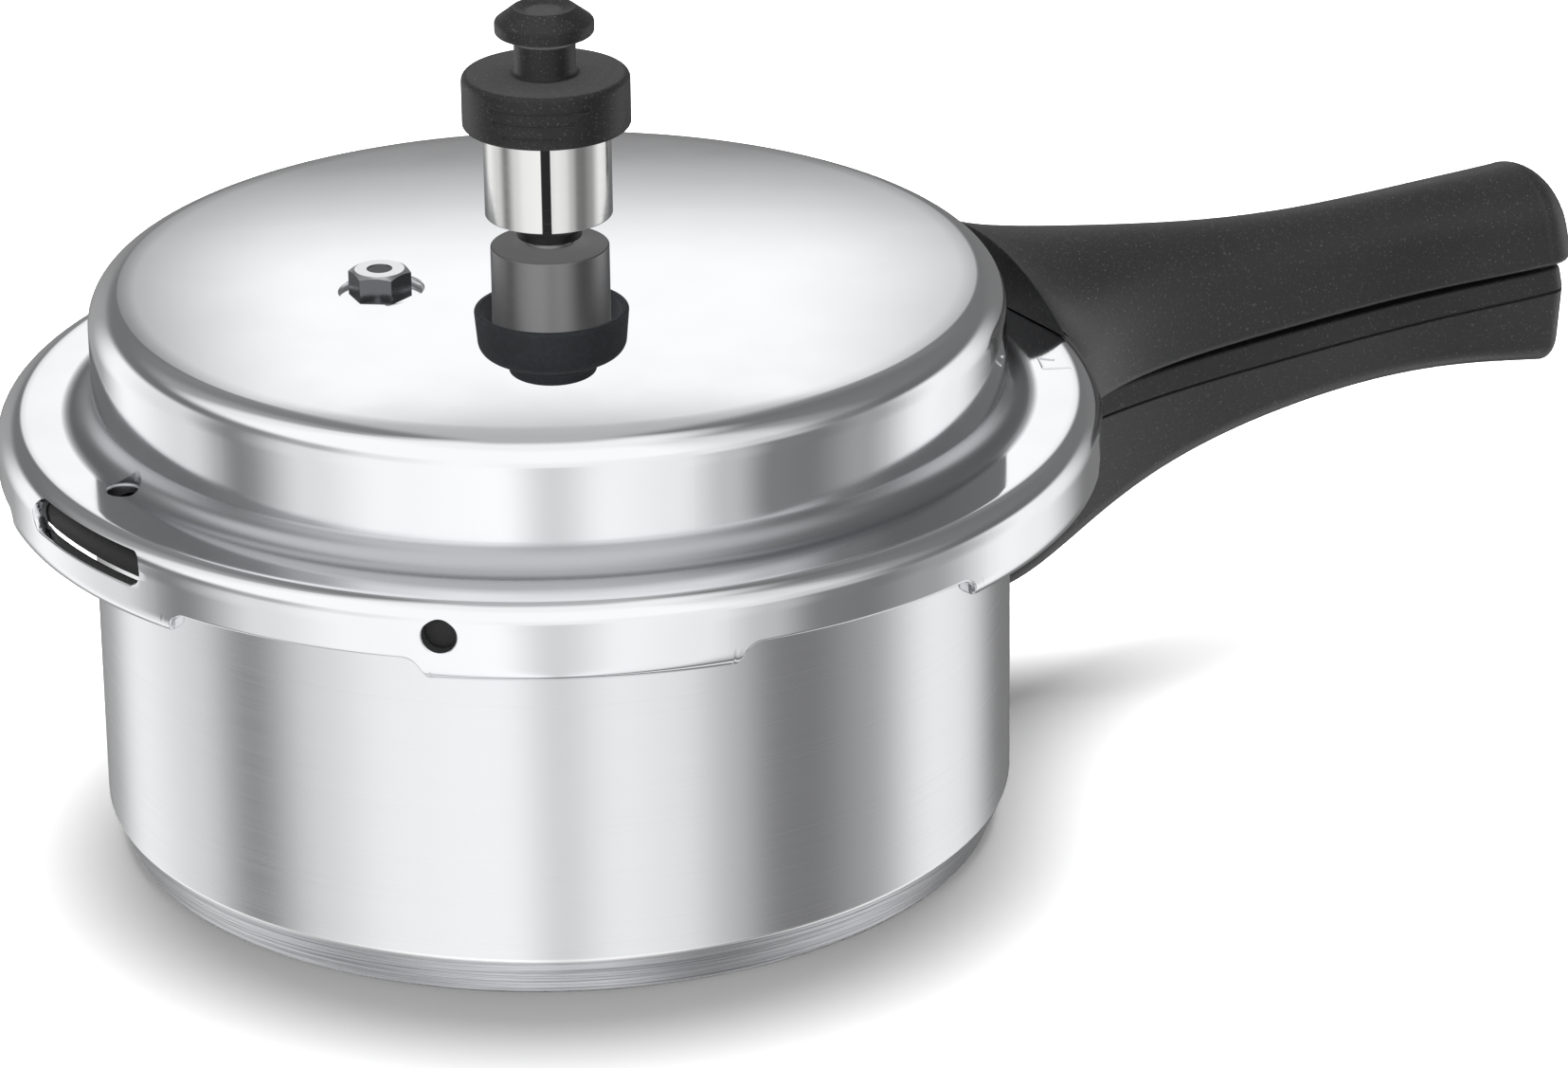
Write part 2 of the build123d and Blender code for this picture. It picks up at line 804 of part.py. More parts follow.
def nut(hole, top):
    """Hexagonal nut under a face, with its corners chamfered below."""
    blank = column(RegularPolygon(nut_flat_radius, 6, major_radius=False), top - nut_height, top)
    cone = turned(
        [
            (0, top - nut_height, 0),
            (nut_flat_radius, top - nut_height, 0),
            (nut_flat_radius + nut_height, top, 0),
            (0, top, 0),
        ]
    )
    return (blank & cone) - drum(hole, top - 2 * nut_height, top + nut_height)


def make_safety_plug():
    top = plug_seat + plug_height
    stud = plug_stud_foot
    hexagon = Rot(0, 0, slit_angle) * RegularPolygon(plug_flat_radius, 6, major_radius=False)
    cone = turned(
        [
            (0, plug_seat, 0),
            (plug_flat_radius + plug_height, plug_seat, 0),
            (plug_flat_radius + plug_height, top - plug_chamfer - plug_height / 2, 0),
            (plug_flat_radius - plug_chamfer, top, 0),
            (0, top, 0),
        ]
    )
    body = (column(hexagon, plug_seat, top) & cone) + drum(plug_stud_radius, stud, plug_seat)
    return at_plug(body - drum(plug_alloy_radius, stud, top))


def make_safety_plug_alloy():
    top = plug_seat + plug_height - plug_alloy_dish
    return at_plug(drum(plug_alloy_radius, plug_stud_foot, top))


def make_weight_sleeve():
    low = vent_seat + sleeve_foot_rise
    inner = sleeve_radius - sleeve_wall
    tube = drum(sleeve_radius, low, low + sleeve_length) - drum(inner, low, low + sleeve_length)
    cut = Box(2 * sleeve_radius, sleeve_slit, 2 * sleeve_length, align=(Align.MIN, Align.CENTER, Align.MIN))
    tube -= Rot(0, 0, slit_angle) * Pos(0, 0, low - sleeve_length / 2) * cut
    return at_vent(tube)


def make_weight_core():
    low = vent_seat + vent_nozzle_rise
    top = vent_seat + sleeve_foot_rise + sleeve_length
    radius = sleeve_radius - sleeve_wall - core_fit
    body = turned(
        [
            (0, low, 0),
            (vent_ring_radius, low, 0),
            (radius, low + core_seat_depth, core_edge_round),
            (radius, top, core_edge_round),
            (core_stud_radius, top, 0),
            (core_stud_radius, top + core_stud_length, core_edge_round),
            (0, top + core_stud_length, 0),
        ]
    )
    return at_vent(body)


def make_weight_cap():
    foot = vent_seat + collar_foot_rise
    shoulder = foot + collar_height
    socket_top = vent_seat + sleeve_foot_rise + sleeve_length
    knob_foot = vent_seat + knob_foot_rise
    knob_top = vent_seat + knob_top_rise
    knob_edge = knob_foot + knob_lower_round + knob_edge_height
    body = turned(
        [
            (0, foot, 0),
            (collar_radius, foot, collar_foot_round),
            (collar_radius, shoulder, collar_top_round),
            (stem_radius, shoulder, stem_fillet),
            (stem_radius, knob_foot, neck_fillet),
            (knob_radius, knob_foot, knob_lower_round),
            (knob_radius, knob_edge, knob_edge_round),
            (knob_dish_radius, knob_top, knob_dish_round),
            (0, knob_top, 0),
        ]
    )
    dish = (knob_dish_radius**2 + knob_dish_depth**2) / (2 * knob_dish_depth)
    body -= Pos(0, 0, knob_top - knob_dish_depth + dish) * Sphere(dish)
    body -= drum(sleeve_radius + core_fit, foot, socket_top)
    body -= drum(core_stud_radius + core_fit, socket_top, socket_top + core_stud_length + core_fit)
    return at_vent(body)


nodes = {
    "pot_body": make_pot_body(),
    "pot_handle": make_pot_handle(),
    "pot_handle_bracket": make_pot_bracket(),
    "pot_bracket_rivets": make_pot_rivets(),
    "pot_handle_screws": screws(pot_radius, pot_screw_seat, pot_screw_top),
    "lid_shell": make_lid_shell(),
    "gasket": make_gasket(),
    "lid_handle": make_lid_handle(),
    "lid_handle_bracket": make_lid_bracket(),
    "lid_bracket_rivets": make_lid_rivets(),
    "lid_handle_screws": screws(lid_handle_root, lid_screw_seat, strap_tongue_top),
    "vent_body": make_vent_body(),
    "vent_cup": make_vent_cup(),
    "vent_washer": at_vent(washer(vent_stud_radius + vent_fit, vent_under)),
    "vent_nut": at_vent(nut(vent_stud_radius + vent_fit, vent_under - washer_thickness)),
    "safety_plug": make_safety_plug(),
    "safety_plug_alloy": make_safety_plug_alloy(),
    "safety_plug_washer": at_plug(washer(plug_stud_radius + vent_fit, plug_under)),
    "safety_plug_nut": at_plug(nut(plug_stud_radius + vent_fit, plug_under - washer_thickness)),
    "weight_sleeve": make_weight_sleeve(),
    "weight_core": make_weight_core(),
    "weight_cap": make_weight_cap(),
}

os.makedirs("parts", exist_ok=True)
for name, shape in nodes.items():
    export_step(shape, f"parts/{name}.step")
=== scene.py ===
import math
import bmesh
import bpy
from mathutils import Matrix, Vector


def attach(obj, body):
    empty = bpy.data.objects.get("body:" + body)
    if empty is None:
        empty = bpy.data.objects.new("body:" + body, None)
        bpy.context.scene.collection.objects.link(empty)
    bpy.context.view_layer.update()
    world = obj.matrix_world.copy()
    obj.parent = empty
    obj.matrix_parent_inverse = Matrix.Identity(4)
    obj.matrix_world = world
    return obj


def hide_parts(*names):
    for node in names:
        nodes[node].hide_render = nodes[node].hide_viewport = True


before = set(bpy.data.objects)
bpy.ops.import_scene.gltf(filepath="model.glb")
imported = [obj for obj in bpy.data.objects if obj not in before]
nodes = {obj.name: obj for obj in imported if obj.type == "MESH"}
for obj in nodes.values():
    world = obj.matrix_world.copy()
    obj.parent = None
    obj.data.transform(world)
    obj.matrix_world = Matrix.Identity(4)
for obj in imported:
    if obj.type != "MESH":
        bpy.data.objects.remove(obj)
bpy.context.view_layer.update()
mm = 0.001
print("frame loaded:", len(nodes), "nodes")


def hexColor(text):  # sRGB hex to linear RGBA
    channels = [int(text[i:i + 2], 16) / 255 for i in (1, 3, 5)]
    linear = [c / 12.92 if c <= 0.04045 else ((c + 0.055) / 1.055) ** 2.4 for c in channels]
    return (*linear, 1.0)


def grey(level):
    return (level, level, level, 1.0)


def polar(radius, degrees):
    angle = math.radians(degrees)
    return radius * math.cos(angle), radius * math.sin(angle)


def put(tree, kind, sockets=None, links=None, **settings):  # one node, its settings and its links
    node = tree.nodes.new("ShaderNode" + kind)
    for name, value in settings.items():
        setattr(node, name, value)
    for name, value in (sockets or {}).items():
        node.inputs[name].default_value = value
    for name, source in (links or {}).items():
        tree.links.new(source, node.inputs[name])
    return node


def startMaterial(name):
    material = bpy.data.materials.new(name)
    material.use_nodes = True
    material.node_tree.nodes.clear()
    return material, material.node_tree


def endMaterial(tree, shader):
    put(tree, "OutputMaterial", links={"Surface": shader.outputs["BSDF"]})


def lineScale(lengthMm, widthMm):  # mapping that draws noise out into lines round the upright axis
    along = 1 / (lengthMm * mm)
    return along, along, 1 / (widthMm * mm)


def paint(piece, material):
    piece.data.materials.clear()
    piece.data.materials.append(material)


# Camera, fitted to the photograph's 1655 x 1127 frame
shot = {
    "location": (-0.6107, -1.0431, 0.5646),
    "azimuth": -32.5,
    "elevation": 22.79,
    "roll": 0.675,
    "lens": 152.27,
    "sensor": 36.0,
}


def makeCamera():
    azimuth, elevation, roll = (math.radians(shot[k]) for k in ("azimuth", "elevation", "roll"))
    back = Vector((
        math.sin(azimuth) * math.cos(elevation),
        -math.cos(azimuth) * math.cos(elevation),
        math.sin(elevation),
    ))
    right = Vector((math.cos(azimuth), math.sin(azimuth), 0))
    up = back.cross(right)
    turnedRight = right * math.cos(roll) - up * math.sin(roll)
    turnedUp = right * math.sin(roll) + up * math.cos(roll)
    data = bpy.data.cameras.new("camera")
    data.lens = shot["lens"]
    data.sensor_width = shot["sensor"]
    camera = bpy.data.objects.new("camera", data)
    rotation = Matrix((turnedRight, turnedUp, back)).transposed().to_4x4()
    camera.matrix_world = Matrix.Translation(shot["location"]) @ rotation
    bpy.context.scene.collection.objects.link(camera)
    bpy.context.scene.camera = camera
    return right, Vector((back.x, back.y, 0)).normalized()


sideways, towardsCamera = makeCamera()
print("camera set")

# Studio: softboxes and dark flags all round, which only the metal mirrors,
# and a low even light for the matt pieces
studio = {
    "diffuseLevel": 0.19,  # what matt pieces see
    "bounceLevel": 0.04,  # what the floor sees mirrored in the pot's wall
    "zenithLevel": 1.1,
    # soft steps, each from where it starts to where it is full: by sine of the height
    "middleStep": (0.2, 0.34),
    "upperStep": (0.42, 0.58),
    "zenithStep": (0.9, 0.99),
    # sides of the softbox behind the object, which the lid's crown mirrors
    "boxFoot": (-0.04, 0.12),
    "boxFront": (0.0, -0.3),
    "boxLeft": (-0.19, -0.1),
    "boxRight": (0.15, 0.03),
}
# Brightness by degrees from the camera's side, to its right positive: low up to about 12 degrees,
# middle from there to about 30 degrees, which the flange shows by way of the dome's wall, and upper.
# The softbox behind the object goes by sine of the height.
lightStops = {
    "low": [
        (-180, 0.2), (-150, 0.4), (-128, 1.15), (-100, 0.86), (-81, 0.27), (-60, 0.9), (-40, 1.16),
        (-11, 1.22), (2, 0.8), (16, 1.12), (32, 1.02), (46, 0.62), (58, 0.24), (68, 0.22), (85, 0.4),
        (110, 1.12), (122, 1.05), (150, 0.22), (180, 0.2),
    ],
    "middle": [
        (-180, 0.2), (-100, 0.2), (-80, 0.26), (-60, 0.52), (-42, 1.0), (-20, 1.2), (0, 1.1), (20, 1.1),
        (40, 1.0), (60, 0.66), (80, 0.24), (100, 0.17), (150, 0.2), (180, 0.2),
    ],
    "upper": [
        (-180, 0.3), (-150, 0.25), (-125, 0.4), (-105, 1.0), (-80, 1.2), (30, 1.2), (60, 0.85), (85, 0.35),
        (105, 0.22), (150, 0.2), (180, 0.3),
    ],
    "behind": [
        (0.0, 0.2), (0.18, 0.28), (0.2, 0.34), (0.235, 0.55), (0.27, 0.74), (0.3, 0.98), (0.34, 1.16),
        (0.36, 1.2), (0.485, 1.2), (0.53, 0.55), (1.0, 0.55),
    ],
}


def makeWorld():
    world = bpy.data.worlds.new("studio")
    bpy.context.scene.world = world
    world.use_nodes = True
    tree = world.node_tree
    tree.nodes.clear()
    direction = put(tree, "TexCoord").outputs["Generated"]
    across, facing = (
        put(tree, "VectorMath", {1: axis}, {0: direction}, operation="DOT_PRODUCT").outputs["Value"]
        for axis in (sideways, towardsCamera)
    )
    height = put(tree, "SeparateXYZ", links={"Vector": direction}).outputs["Z"]
    angle = put(tree, "Math", links={0: across, 1: facing}, operation="ARCTAN2").outputs["Value"]
    share = put(
        tree, "MapRange", {"From Min": -math.pi, "From Max": math.pi}, {"Value": angle}
    ).outputs["Result"]
    lights = {}
    for name, stops in lightStops.items():
        ramp = put(tree, "ValToRGB", links={"Fac": height if name == "behind" else share})
        ramp.color_ramp.interpolation = "EASE"
        elements = ramp.color_ramp.elements
        for index, (place, level) in enumerate(stops):
            if name != "behind":
                place = (place + 180) / 360
            stop = elements[index] if index < 2 else elements.new(place)
            stop.position = place
            stop.color = grey(level)
        lights[name] = ramp.outputs["Color"]
    measures = {
        "middleStep": height, "upperStep": height, "zenithStep": height,
        "boxFoot": height, "boxFront": facing, "boxLeft": across, "boxRight": across,
    }
    steps = {}
    for name, measure in measures.items():
        start, full = studio[name]
        steps[name] = put(
            tree, "MapRange", {"From Min": start, "From Max": full}, {"Value": measure},
            interpolation_type="SMOOTHSTEP",
        ).outputs["Result"]
    upper = put(
        tree, "MixRGB", {"Color2": grey(studio["zenithLevel"])},
        {"Fac": steps["zenithStep"], "Color1": lights["upper"]},
    ).outputs["Color"]
    around = lights["low"]
    for step, higher in ((steps["middleStep"], lights["middle"]), (steps["upperStep"], upper)):
        around = put(tree, "MixRGB", links={"Fac": step, "Color1": around, "Color2": higher}).outputs["Color"]
    box = steps["boxFoot"]
    for name in ("boxFront", "boxLeft", "boxRight"):
        box = put(tree, "Math", links={0: box, 1: steps[name]}, operation="MULTIPLY").outputs["Value"]
    mirrored = put(tree, "MixRGB", links={"Fac": box, "Color1": around, "Color2": lights["behind"]})
    path = put(tree, "LightPath").outputs
    glossy = path["Is Glossy Ray"]
    # rays that no matt surface has thrown yet
    first = put(tree, "Math", {1: 0.5}, {0: path["Diffuse Depth"]}, operation="LESS_THAN").outputs["Value"]
    mirror = put(tree, "Math", links={0: glossy, 1: first}, operation="MULTIPLY").outputs["Value"]
    bounce = put(tree, "Math", links={0: glossy, 1: mirror}, operation="SUBTRACT").outputs["Value"]
    light = put(
        tree, "MixRGB", {"Color1": grey(studio["diffuseLevel"])},
        {"Fac": mirror, "Color2": mirrored.outputs["Color"]},
    )
    for ray, level in ((bounce, studio["bounceLevel"]), (path["Is Camera Ray"], 1)):
        light = put(tree, "MixRGB", {"Color2": grey(level)}, {"Fac": ray, "Color1": light.outputs["Color"]})
    glow = put(tree, "Background", links={"Color": light.outputs["Color"]})
    put(tree, "OutputWorld", links={"Surface": glow.outputs["Background"]})


# Floor: matt paper with a faint grain. The camera alone sees it over-white,
# so that only the close shadow stays.
paper = {
    "size": 6.0, "color": "#f2f2f2", "cameraTone": 2.12, "roughness": 0.95,
    "grainMm": 2.5, "grainDepthMm": 0.2, "grainStrength": 0.02,
}


def makeFloor():
    half = paper["size"] / 2
    corners = [(-half, -half, 0), (half, -half, 0), (half, half, 0), (-half, half, 0)]
    mesh = bpy.data.meshes.new("floor")
    mesh.from_pydata(corners, [], [(0, 1, 2, 3)])
    floor = bpy.data.objects.new("floor", mesh)
    bpy.context.scene.collection.objects.link(floor)
    material, tree = startMaterial("matt white sweep paper")
    grain = put(tree, "TexNoise", {"Scale": 1 / (paper["grainMm"] * mm), "Detail": 2.0})
    bump = put(
        tree, "Bump", {"Strength": paper["grainStrength"], "Distance": paper["grainDepthMm"] * mm},
        {"Height": grain.outputs["Fac"]},
    )
    tone = put(
        tree, "MixRGB", {"Color1": hexColor(paper["color"]), "Color2": grey(paper["cameraTone"])},
        {"Fac": put(tree, "LightPath").outputs["Is Camera Ray"]},
    )
    shader = put(
        tree, "BsdfPrincipled", {"Roughness": paper["roughness"], "Specular IOR Level": 0.0},
        {"Base Color": tone.outputs["Color"], "Normal": bump.outputs["Normal"]},
    )
    endMaterial(tree, shader)
    mesh.materials.append(material)
    floor.visible_glossy = False


# Each lamp: place as (right of, towards the camera from, above) the object, size and power
lamps = {
    "overhead lamp": {"place": (0.0, -0.4, 1.65), "size": 1.6, "power": 29.0, "shadow": True},
    "front lamp": {"place": (-0.5, 1.6, 0.45), "size": 1.0, "power": 8.0, "shadow": False},
}
lampAim = Vector((0.02, 0, 0.07))


def makeLamps():
    for name, lamp in lamps.items():
        data = bpy.data.lights.new(name, "AREA")
        data.shape = "DISK"
        data.size = lamp["size"]
        data.energy = lamp["power"]
        data.use_shadow = lamp["shadow"]
        light = bpy.data.objects.new(name, data)
        right, front, up = lamp["place"]
        light.location = sideways * right + towardsCamera * front + Vector((0, 0, up))
        light.rotation_euler = (lampAim - light.location).to_track_quat("-Z", "Y").to_euler()
        light.visible_glossy = False
        bpy.context.scene.collection.objects.link(light)


makeWorld()
makeFloor()
makeLamps()
print("studio lit")


noiseLow, noiseHigh = 0.3, 0.7  # most of a noise pattern lies between these

# Pot: aluminium drawn and satin brushed round the wall, which smears the mirrored light up and down.
# The band round the base is turned in coarse lines, with a painted highlight along its top edge.
# The lines are drawn coarser than real, so that they show.
potFinish = {
    "color": "#e0e1e3", "bandColor": "#c6c7ca", "grooveColor": "#8f9093", "paintedHighlightColor": "#fafafa",
    "smoothest": 0.21, "roughest": 0.28, "anisotropy": 0.75, "blurTurn": 0.25,
    "lineMm": 0.3, "lineLengthMm": 166.67, "lineStrength": 0.015,
    "bandLineMm": 0.55, "bandLineLengthMm": 71.43, "bandLineStrength": 0.6, "reliefMm": 0.05,
    "bandTop": 8.4, "bandFade": 0.4, "paintedHighlightWidth": 0.5, "grooveFrom": 0.45, "grooveFull": 0.62,
}


def makePotMetal():
    material, tree = startMaterial("satin brushed drawn aluminium")
    place = put(tree, "TexCoord").outputs["Object"]
    fine = put(
        tree, "Mapping", {"Scale": lineScale(potFinish["lineLengthMm"], potFinish["lineMm"])},
        {"Vector": place},
    )
    lines = put(
        tree, "TexNoise", {"Scale": 1.0, "Detail": 4.0, "Roughness": 0.7},
        {"Vector": fine.outputs["Vector"]},
    )
    coarse = put(
        tree, "Mapping", {"Scale": lineScale(potFinish["bandLineLengthMm"], potFinish["bandLineMm"])},
        {"Vector": place},
    )
    bandLines = put(
        tree, "TexNoise", {"Scale": 1.0, "Detail": 5.0, "Roughness": 0.75},
        {"Vector": coarse.outputs["Vector"]},
    )
    height = put(tree, "SeparateXYZ", links={"Vector": place}).outputs["Z"]
    bandTop = potFinish["bandTop"] * mm
    band = put(
        tree, "MapRange", {"From Min": bandTop, "From Max": bandTop - potFinish["bandFade"] * mm},
        {"Value": height},
    ).outputs["Result"]
    groove = put(
        tree, "MapRange", {"From Min": potFinish["grooveFrom"], "From Max": potFinish["grooveFull"]},
        {"Value": bandLines.outputs["Fac"]},
    )
    bandTone = put(
        tree, "MixRGB",
        {"Color1": hexColor(potFinish["bandColor"]), "Color2": hexColor(potFinish["grooveColor"])},
        {"Fac": groove.outputs["Result"]},
    )
    tone = put(
        tree, "MixRGB", {"Color1": hexColor(potFinish["color"])},
        {"Fac": band, "Color2": bandTone.outputs["Color"]},
    )
    # painted highlight: a thin line of near-white colour along the band's top edge
    apart = put(tree, "Math", {1: bandTop}, {0: height}, operation="SUBTRACT").outputs["Value"]
    apart = put(tree, "Math", links={0: apart}, operation="ABSOLUTE").outputs["Value"]
    edge = put(tree, "MapRange", {"From Min": potFinish["paintedHighlightWidth"] * mm, "From Max": 0}, {"Value": apart})
    tone = put(
        tree, "MixRGB", {"Color2": hexColor(potFinish["paintedHighlightColor"])},
        {"Fac": edge.outputs["Result"], "Color1": tone.outputs["Color"]},
    )
    relief = put(
        tree, "MixRGB",
        links={"Fac": band, "Color1": lines.outputs["Fac"], "Color2": bandLines.outputs["Fac"]},
    ).outputs["Color"]
    strength = put(
        tree, "MapRange", {"To Min": potFinish["lineStrength"], "To Max": potFinish["bandLineStrength"]},
        {"Value": band},
    )
    bump = put(
        tree, "Bump", {"Distance": potFinish["reliefMm"] * mm},
        {"Height": relief, "Strength": strength.outputs["Result"]},
    )
    sheen = put(
        tree, "MapRange",
        {
            "From Min": noiseLow, "From Max": noiseHigh,
            "To Min": potFinish["smoothest"], "To Max": potFinish["roughest"],
        },
        {"Value": relief},
    )
    around = put(tree, "Tangent", direction_type="RADIAL", axis="Z")
    shader = put(
        tree, "BsdfPrincipled",
        {
            "Metallic": 1.0, "Anisotropic": potFinish["anisotropy"],
            "Anisotropic Rotation": potFinish["blurTurn"],
        },
        {
            "Base Color": tone.outputs["Color"], "Roughness": sheen.outputs["Result"],
            "Normal": bump.outputs["Normal"], "Tangent": around.outputs["Tangent"],
        },
    )
    endMaterial(tree, shader)
    return material


# Lid: aluminium pressed and buffed bright, with a faint haze and hair lines, drawn coarser than real.
# The corner round the dome's foot is rougher, and its colour is darker there as painted shade.
lidFinish = {
    "color": "#e6e7e9", "footShadeColor": "#b2b3b6", "smoothest": 0.07, "roughest": 0.11, "dullRoughness": 0.3,
    "lineMm": 0.5, "lineLengthMm": 83.33, "lineStrength": 0.02, "reliefMm": 0.05,
    "hazeMm": 16.67, "hazeFrom": 0.35, "hazeFull": 0.65,
    "shadeAndDullRadius": 94.9, "shadeAndDullTop": 93.0, "shadeAndDullEdge": 0.6,
}


def makeLidMetal():
    material, tree = startMaterial("buffed pressed aluminium")
    place = put(tree, "TexCoord").outputs["Object"]
    stretch = put(
        tree, "Mapping", {"Scale": lineScale(lidFinish["lineLengthMm"], lidFinish["lineMm"])},
        {"Vector": place},
    )
    lines = put(tree, "TexNoise", {"Scale": 1.0, "Detail": 3.0}, {"Vector": stretch.outputs["Vector"]})
    haze = put(tree, "TexNoise", {"Scale": 1 / (lidFinish["hazeMm"] * mm), "Detail": 2.0}, {"Vector": place})
    bump = put(
        tree, "Bump", {"Strength": lidFinish["lineStrength"], "Distance": lidFinish["reliefMm"] * mm},
        {"Height": lines.outputs["Fac"]},
    )
    sheen = put(
        tree, "MapRange",
        {
            "From Min": lidFinish["hazeFrom"], "From Max": lidFinish["hazeFull"],
            "To Min": lidFinish["smoothest"], "To Max": lidFinish["roughest"],
        },
        {"Value": haze.outputs["Fac"]},
    )
    flat = put(tree, "VectorMath", {1: (1, 1, 0)}, {0: place}, operation="MULTIPLY").outputs["Vector"]
    offset = put(tree, "VectorMath", links={0: flat}, operation="LENGTH").outputs["Value"]
    height = put(tree, "SeparateXYZ", links={"Vector": place}).outputs["Z"]
    edge = lidFinish["shadeAndDullEdge"]
    near, below = (
        put(
            tree, "MapRange", {"From Min": (limit + edge) * mm, "From Max": (limit - edge) * mm},
            {"Value": measure},
        ).outputs["Result"]
        for limit, measure in ((lidFinish["shadeAndDullRadius"], offset), (lidFinish["shadeAndDullTop"], height))
    )
    # painted shade: in the corner round the dome's foot the colour darkens; the finish there is also rougher
    dull = put(tree, "Math", links={0: near, 1: below}, operation="MULTIPLY").outputs["Value"]
    tone = put(
        tree, "MixRGB", {"Color1": hexColor(lidFinish["color"]), "Color2": hexColor(lidFinish["footShadeColor"])},
        {"Fac": dull},
    )
    blur = put(tree, "Mix", {"B": lidFinish["dullRoughness"]}, {"Factor": dull, "A": sheen.outputs["Result"]})
    shader = put(
        tree, "BsdfPrincipled", {"Metallic": 1.0},
        {
            "Base Color": tone.outputs["Color"], "Roughness": blur.outputs["Result"],
            "Normal": bump.outputs["Normal"],
        },
    )
    endMaterial(tree, shader)
    return material


# Handles and cap: black phenolic resin moulded in a spark-eroded tool, matt, with pin-point glints painted in
# as pale flecks, and worn edges. The grain is drawn coarser than real, so that it shows.
phenolic = {
    "color": "#262627", "paintedGlintColor": "#6a6a6c", "glintFrom": 0.6, "glintFull": 0.72,
    "smoothest": 0.35, "roughest": 0.48, "ior": 1.6, "edgeMm": 0.6, "cloudMm": 40.0,
    "grainDepthMm": 0.12, "grainStrength": 0.4,
}
phenolicKinds = {
    "moulded black phenolic": {"grainMm": 0.5, "gloss": 0.5},  # soft shine along the edges
    "fine moulded black phenolic": {"grainMm": 0.4, "gloss": 0.22},  # closer grain, hardly a shine
}


def makePhenolic(name, grainMm, gloss):
    material, tree = startMaterial(name)
    place = put(tree, "TexCoord").outputs["Object"]
    grain = put(
        tree, "TexNoise", {"Scale": 1 / (grainMm * mm), "Detail": 3.0, "Roughness": 0.65}, {"Vector": place}
    ).outputs["Fac"]
    cloud = put(tree, "TexNoise", {"Scale": 1 / (phenolic["cloudMm"] * mm), "Detail": 2.0}, {"Vector": place})
    # painted highlight: pale flecks in the colour stand in for pin-point glints
    paintedGlints = put(
        tree, "MapRange", {"From Min": phenolic["glintFrom"], "From Max": phenolic["glintFull"]},
        {"Value": grain},
    )
    tone = put(
        tree, "MixRGB", {"Color1": hexColor(phenolic["color"]), "Color2": hexColor(phenolic["paintedGlintColor"])},
        {"Fac": paintedGlints.outputs["Result"]},
    )
    rolled = put(tree, "Bevel", {"Radius": phenolic["edgeMm"] * mm}, samples=4)
    bump = put(
        tree, "Bump", {"Strength": phenolic["grainStrength"], "Distance": phenolic["grainDepthMm"] * mm},
        {"Height": grain, "Normal": rolled.outputs["Normal"]},
    )
    sheen = put(
        tree, "MapRange",
        {
            "From Min": noiseLow, "From Max": noiseHigh,
            "To Min": phenolic["smoothest"], "To Max": phenolic["roughest"],
        },
        {"Value": cloud.outputs["Fac"]},
    )
    shader = put(
        tree, "BsdfPrincipled", {"IOR": phenolic["ior"], "Specular IOR Level": gloss},
        {
            "Base Color": tone.outputs["Color"], "Roughness": sheen.outputs["Result"],
            "Normal": bump.outputs["Normal"],
        },
    )
    endMaterial(tree, shader)
    return material


# Steel pieces and the alloy core, turned on a lathe: rings round the axis, drawn coarser than real
turning = {"lineLengthMm": 33.33, "reliefMm": 0.04, "smoother": 0.04, "rougher": 0.05}
turnedKinds = {
    # mid grey with a soft gleam
    "plain bright steel": {"color": "#a9aaac", "roughness": 0.35, "lineMm": 0.6, "strength": 0.1},
    # near black with a dull gleam; on the vent's rings it is painted shade under the sleeve
    "oil blackened steel and painted shade": {"color": "#2b2b2c", "roughness": 0.4, "lineMm": 0.4, "strength": 0.1},
    # dark grey, with rings that catch the light
    "turned dark stainless steel": {"color": "#7c7c7d", "roughness": 0.32, "lineMm": 0.3, "strength": 0.2},
    # bright mirror
    "polished stainless steel": {"color": "#dcdcdb", "roughness": 0.14, "lineMm": 0.5, "strength": 0.05},
    # lead grey without a gleam
    "dull fusible alloy": {"color": "#77787b", "roughness": 0.5, "lineMm": 0.4, "strength": 0.2},
}


def makeTurnedMetal(name, color, roughness, lineMm, strength):
    material, tree = startMaterial(name)
    place = put(tree, "TexCoord").outputs["Object"]
    stretch = put(
        tree, "Mapping", {"Scale": lineScale(turning["lineLengthMm"], lineMm)}, {"Vector": place}
    )
    lines = put(
        tree, "TexNoise", {"Scale": 1.0, "Detail": 4.0, "Roughness": 0.7},
        {"Vector": stretch.outputs["Vector"]},
    ).outputs["Fac"]
    bump = put(tree, "Bump", {"Strength": strength, "Distance": turning["reliefMm"] * mm}, {"Height": lines})
    sheen = put(
        tree, "MapRange",
        {
            "From Min": noiseLow, "From Max": noiseHigh,
            "To Min": roughness - turning["smoother"], "To Max": roughness + turning["rougher"],
        },
        {"Value": lines},
    )
    shader = put(
        tree, "BsdfPrincipled", {"Base Color": hexColor(color), "Metallic": 1.0},
        {"Roughness": sheen.outputs["Result"], "Normal": bump.outputs["Normal"]},
    )
    endMaterial(tree, shader)
    return material


# Safety plug: steel with painted light on its upward faces and painted shade on its sides
plugFinish = {
    "color": "#e2e3e4", "shadedSideColor": "#6b6c6e", "roughness": 0.2,
    "litFrom": 0.3, "litFull": 0.6,  # upward part of the normal
}


